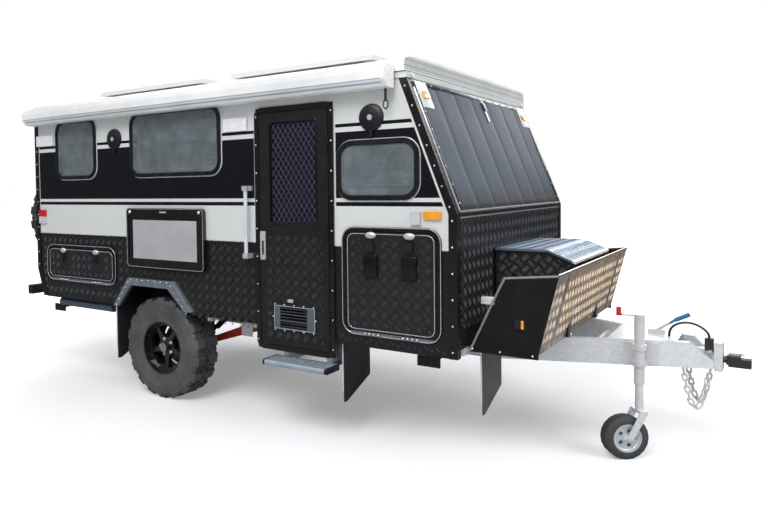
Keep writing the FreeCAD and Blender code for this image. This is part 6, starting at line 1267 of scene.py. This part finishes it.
def on_box(place):
    """True on the box's side, behind its leaning front and under its lid."""
    front = BOX_FRONT_X + (place.z - BOX_FOOT) * (LID_FRONT_X - BOX_FRONT_X) / (LID_FRONT_Z - BOX_FOOT)
    falling = max(0.0, place.x - BREAK_X) * (BREAK_Z - LID_FRONT_Z) / (LID_FRONT_X - BREAK_X)
    return place.x < front - 0.016 and place.z < BREAK_Z - falling - 0.014


for side, (_, way) in SIDES.items():
    x, y = (BOX_X[0], BOX_Y[0]) if way < 0 else (BOX_X[1], BOX_Y[1])
    plate_bars(f"bars_box_{side}", (x, y, BARS_FOOT), (-way, 0, 0), (0, 0, 1), BOX_X[1] - BOX_X[0],
               BARS_TALL, box_bars_painted_glint, "trailer", on_box)
by_place("lid_plate", ((0.20, 0.25, 0.32), 0.36, 0.6),
         [(box_area(x=(1.930, 1.96)), ((0.80, 0.80, 0.80), 0.3, 0.5))], scale=16.0, nodes=["box_lid"])
bright_bars = by_place("bright_bars", ((0.30, 0.37, 0.46), 0.32, 0.6), scale=16.0)
LID_ACROSS, BAR_START = LID_Y[1] - LID_Y[0] - 2 * LID_EDGE, 0.008
plate_bars("bars_lid_flat", (LID_X[0] + LID_EDGE, LID_Y[0] + LID_EDGE, LID_Z[1]), (1, 0, 0), (0, 1, 0),
           BREAK_X - LID_X[0] - 0.015, LID_ACROSS, bright_bars, "box_lid")
fall = Vector((LID_FRONT_X - BREAK_X, 0, LID_FRONT_Z - BREAK_Z))
plate_bars("bars_lid_slope",
           Vector((BREAK_X, LID_Y[0] + LID_EDGE, LID_Z[1])) + fall.normalized() * BAR_START, fall,
           (0, 1, 0), fall.length - 2 * BAR_START, LID_ACROSS, bright_bars, "box_lid")

SHIELD_FOOT, SHIELD_HEAD, SHIELD_HALF = Vector((1.870, 0, 0.698)), Vector((1.978, 0, 1.140)), 0.960
BRACKET_SIDE, BRACKET_HALF, SEAM_SIDE = 0.370, 0.034, 0.72
lift = SHIELD_HEAD - SHIELD_FOOT
shield_out = Vector((lift.z, 0, -lift.x)).normalized()
# The shield's tan colour, darker towards its foot, is a painted reflection of the ground, and the grey at its
# right end is a painted reflection as well.
shield_plate = new_finish("shield_plate", (0.62, 0.56, 0.48), 0.34, 0.85)
place = Place(shield_plate.node_tree)
tan = place.z.ranged(0.80, 0.95, kind="SMOOTHSTEP").blend((0.42, 0.39, 0.36, 1), (0.78, 0.60, 0.43, 1))
tan = place.y.ranged(-0.70, -0.45, kind="SMOOTHSTEP").blend((0.50, 0.51, 0.52, 1), tan)
in_brackets = any_area(*[
    box_area(x=(1.862, 1.99), y=(MID_Y + side - BRACKET_HALF, MID_Y + side + BRACKET_HALF), z=(0.69, 0.779))
    for side in (-BRACKET_SIDE, BRACKET_SIDE)])(place)
use(shield_plate, surface_wear, ("Color", "Roughness"), Light=in_brackets.blend(tan,
                                                                                (0.016, 0.016, 0.018, 1)),
    Dark=in_brackets.blend((0.46, 0.40, 0.33, 1), (0.012, 0.012, 0.013, 1)), Scale=7.0, Smooth=0.20,
    Rough=0.34, Grain=500.0, Relief=0.0001)
join(in_brackets.level(0.92, 0.0), shader_of(shield_plate)["Metallic"])
dress(shield_plate, "stone_shield")


def on_shield(place):
    side = abs(place.y - MID_Y)
    return not (abs(side - BRACKET_SIDE) < 0.045 and place.z < 0.79) and abs(side - SEAM_SIDE) > 0.014


# The shield's bars carry the same tan painted reflection of the ground.
shield_bars = by_place("shield_bars", ((0.62, 0.49, 0.36), 0.44, 0.6), scale=7.0)
plate_bars("bars_shield", SHIELD_FOOT + Vector((0, MID_Y - SHIELD_HALF + 0.01,
                                                0)) + lift.normalized() * BAR_START,
           (0, 1, 0), lift, 2 * SHIELD_HALF - 0.02, lift.length - 0.02, shield_bars, "trailer",
           on_shield)
for number, side in enumerate((-SEAM_SIDE, SEAM_SIDE)):
    strip(f"shield_seam_{number}", lambda share: (
        SHIELD_FOOT + lift * (0.01 + 0.96 * share.z) + shield_out * (0.0018 * share.x - 0.0004)
        + Vector((0, MID_Y + side + 0.004 * (share.y - 0.5), 0))), black_trim, 0.0005, 1)
screws("bracket_screws", [
    facing((1.8915, MID_Y + side, 0.715), (1, 0, 0), (0, 1, 0)) @ Matrix.Diagonal((2, 2, 1.5, 1))
    for side in (-BRACKET_SIDE, BRACKET_SIDE)])
by_place("wing_black", ((0.0045, 0.0045, 0.005), 0.46, 0.0), [
    (any_area(box_area(y=(-0.9200, -0.9001)), box_area(y=(1.0371, 1.06))), ((0.26, 0.26, 0.27), 0.4, 0.2))],
    grain=700.0, Specular_IOR_Level=0.3, nodes=["shield_wings"])
screws("wing_screws", [facing((x, y, 0.69), (0, way, 0)) for x in (1.50, 1.66, 1.84)
                       for y, way in ((-0.8994, -1), (1.0364, 1))])
bar_piece("wing_stay", (1.550, -0.900, 0.955), (1.630, -0.862, 0.998), zinc_plated, "trailer",
          0.004)

# Step, flaps, tanks and the inside: a pale blue tread with slots and black end caps.
# The flaps are rubber on steel edges, the tanks black moulded plastic, the floor ply and the boards pale.
STEP_X, _, _ = spans("step_tread")
FLOOR_Z = spans("cabin_floor")[2]
STEP_CAP, WELL_X, WELL_SIDE, FLOOR_SIDE = 0.016, (-1.56, -0.40), 0.60, 1.060
by_place("step_finish", ((0.44, 0.51, 0.60), 0.3, 0.4), [
    (any_area(box_area(x=(STEP_X[0] - 0.01, STEP_X[0] + STEP_CAP)),
              box_area(x=(STEP_X[1] - STEP_CAP, STEP_X[1] + 0.01))), BLACK_STEEL)], scale=14.0,
              nodes=["step_tread"])
by_place("flap_rubber", ((0.022, 0.022, 0.024), 0.34, 0.0), [
    (box_area(x=(1.515, 1.53)), ((0.085, 0.083, 0.082), 0.3, 0.0))], grain=500.0, relief=0.0004,
    nodes=["flaps"])
by_place("tank_black", ((0.018, 0.018, 0.020), 0.45, 0.0), [
    (box_area(x=(-2.30, -1.45)), ((0.09, 0.115, 0.16), 0.3, 0.4))], grain=120.0, relief=0.0006,
    nodes=["water_tanks"])
floor_ply = new_finish("floor_ply", (0.25, 0.20, 0.15), 0.6)
place = Place(floor_ply.node_tree)
painted = any_area(box_area(x=WELL_X, y=(-1.1, MID_Y - WELL_SIDE)),
                   box_area(x=WELL_X, y=(MID_Y + WELL_SIDE, 1.2)),
                   box_area(z=(0.6, FLOOR_Z[0] + 0.008)), box_area(y=(-1.1, MID_Y - FLOOR_SIDE)),
                   box_area(y=(MID_Y + FLOOR_SIDE, 1.2)))(place)
planks = place.texture("Wave", 1, {"wave_type": "BANDS", "bands_direction": "Y"}, Scale=6.0, Distortion=3.0,
                       Detail=3.0)
wood = planks.blend((0.17, 0.125, 0.085, 1), (0.26, 0.20, 0.145, 1))
join(painted.blend(wood, (0.008, 0.008, 0.009, 1)), shader_of(floor_ply)["Base Color"])
dress(floor_ply, "cabin_floor")
by_place("pale_board", ((0.62, 0.58, 0.52), 0.4, 0.0), scale=3.0, nodes=["cabin_boards"])

for copied in (screw, nut, block, tread_bar, flange, hub):
    bpy.data.objects.remove(copied, do_unlink=True)
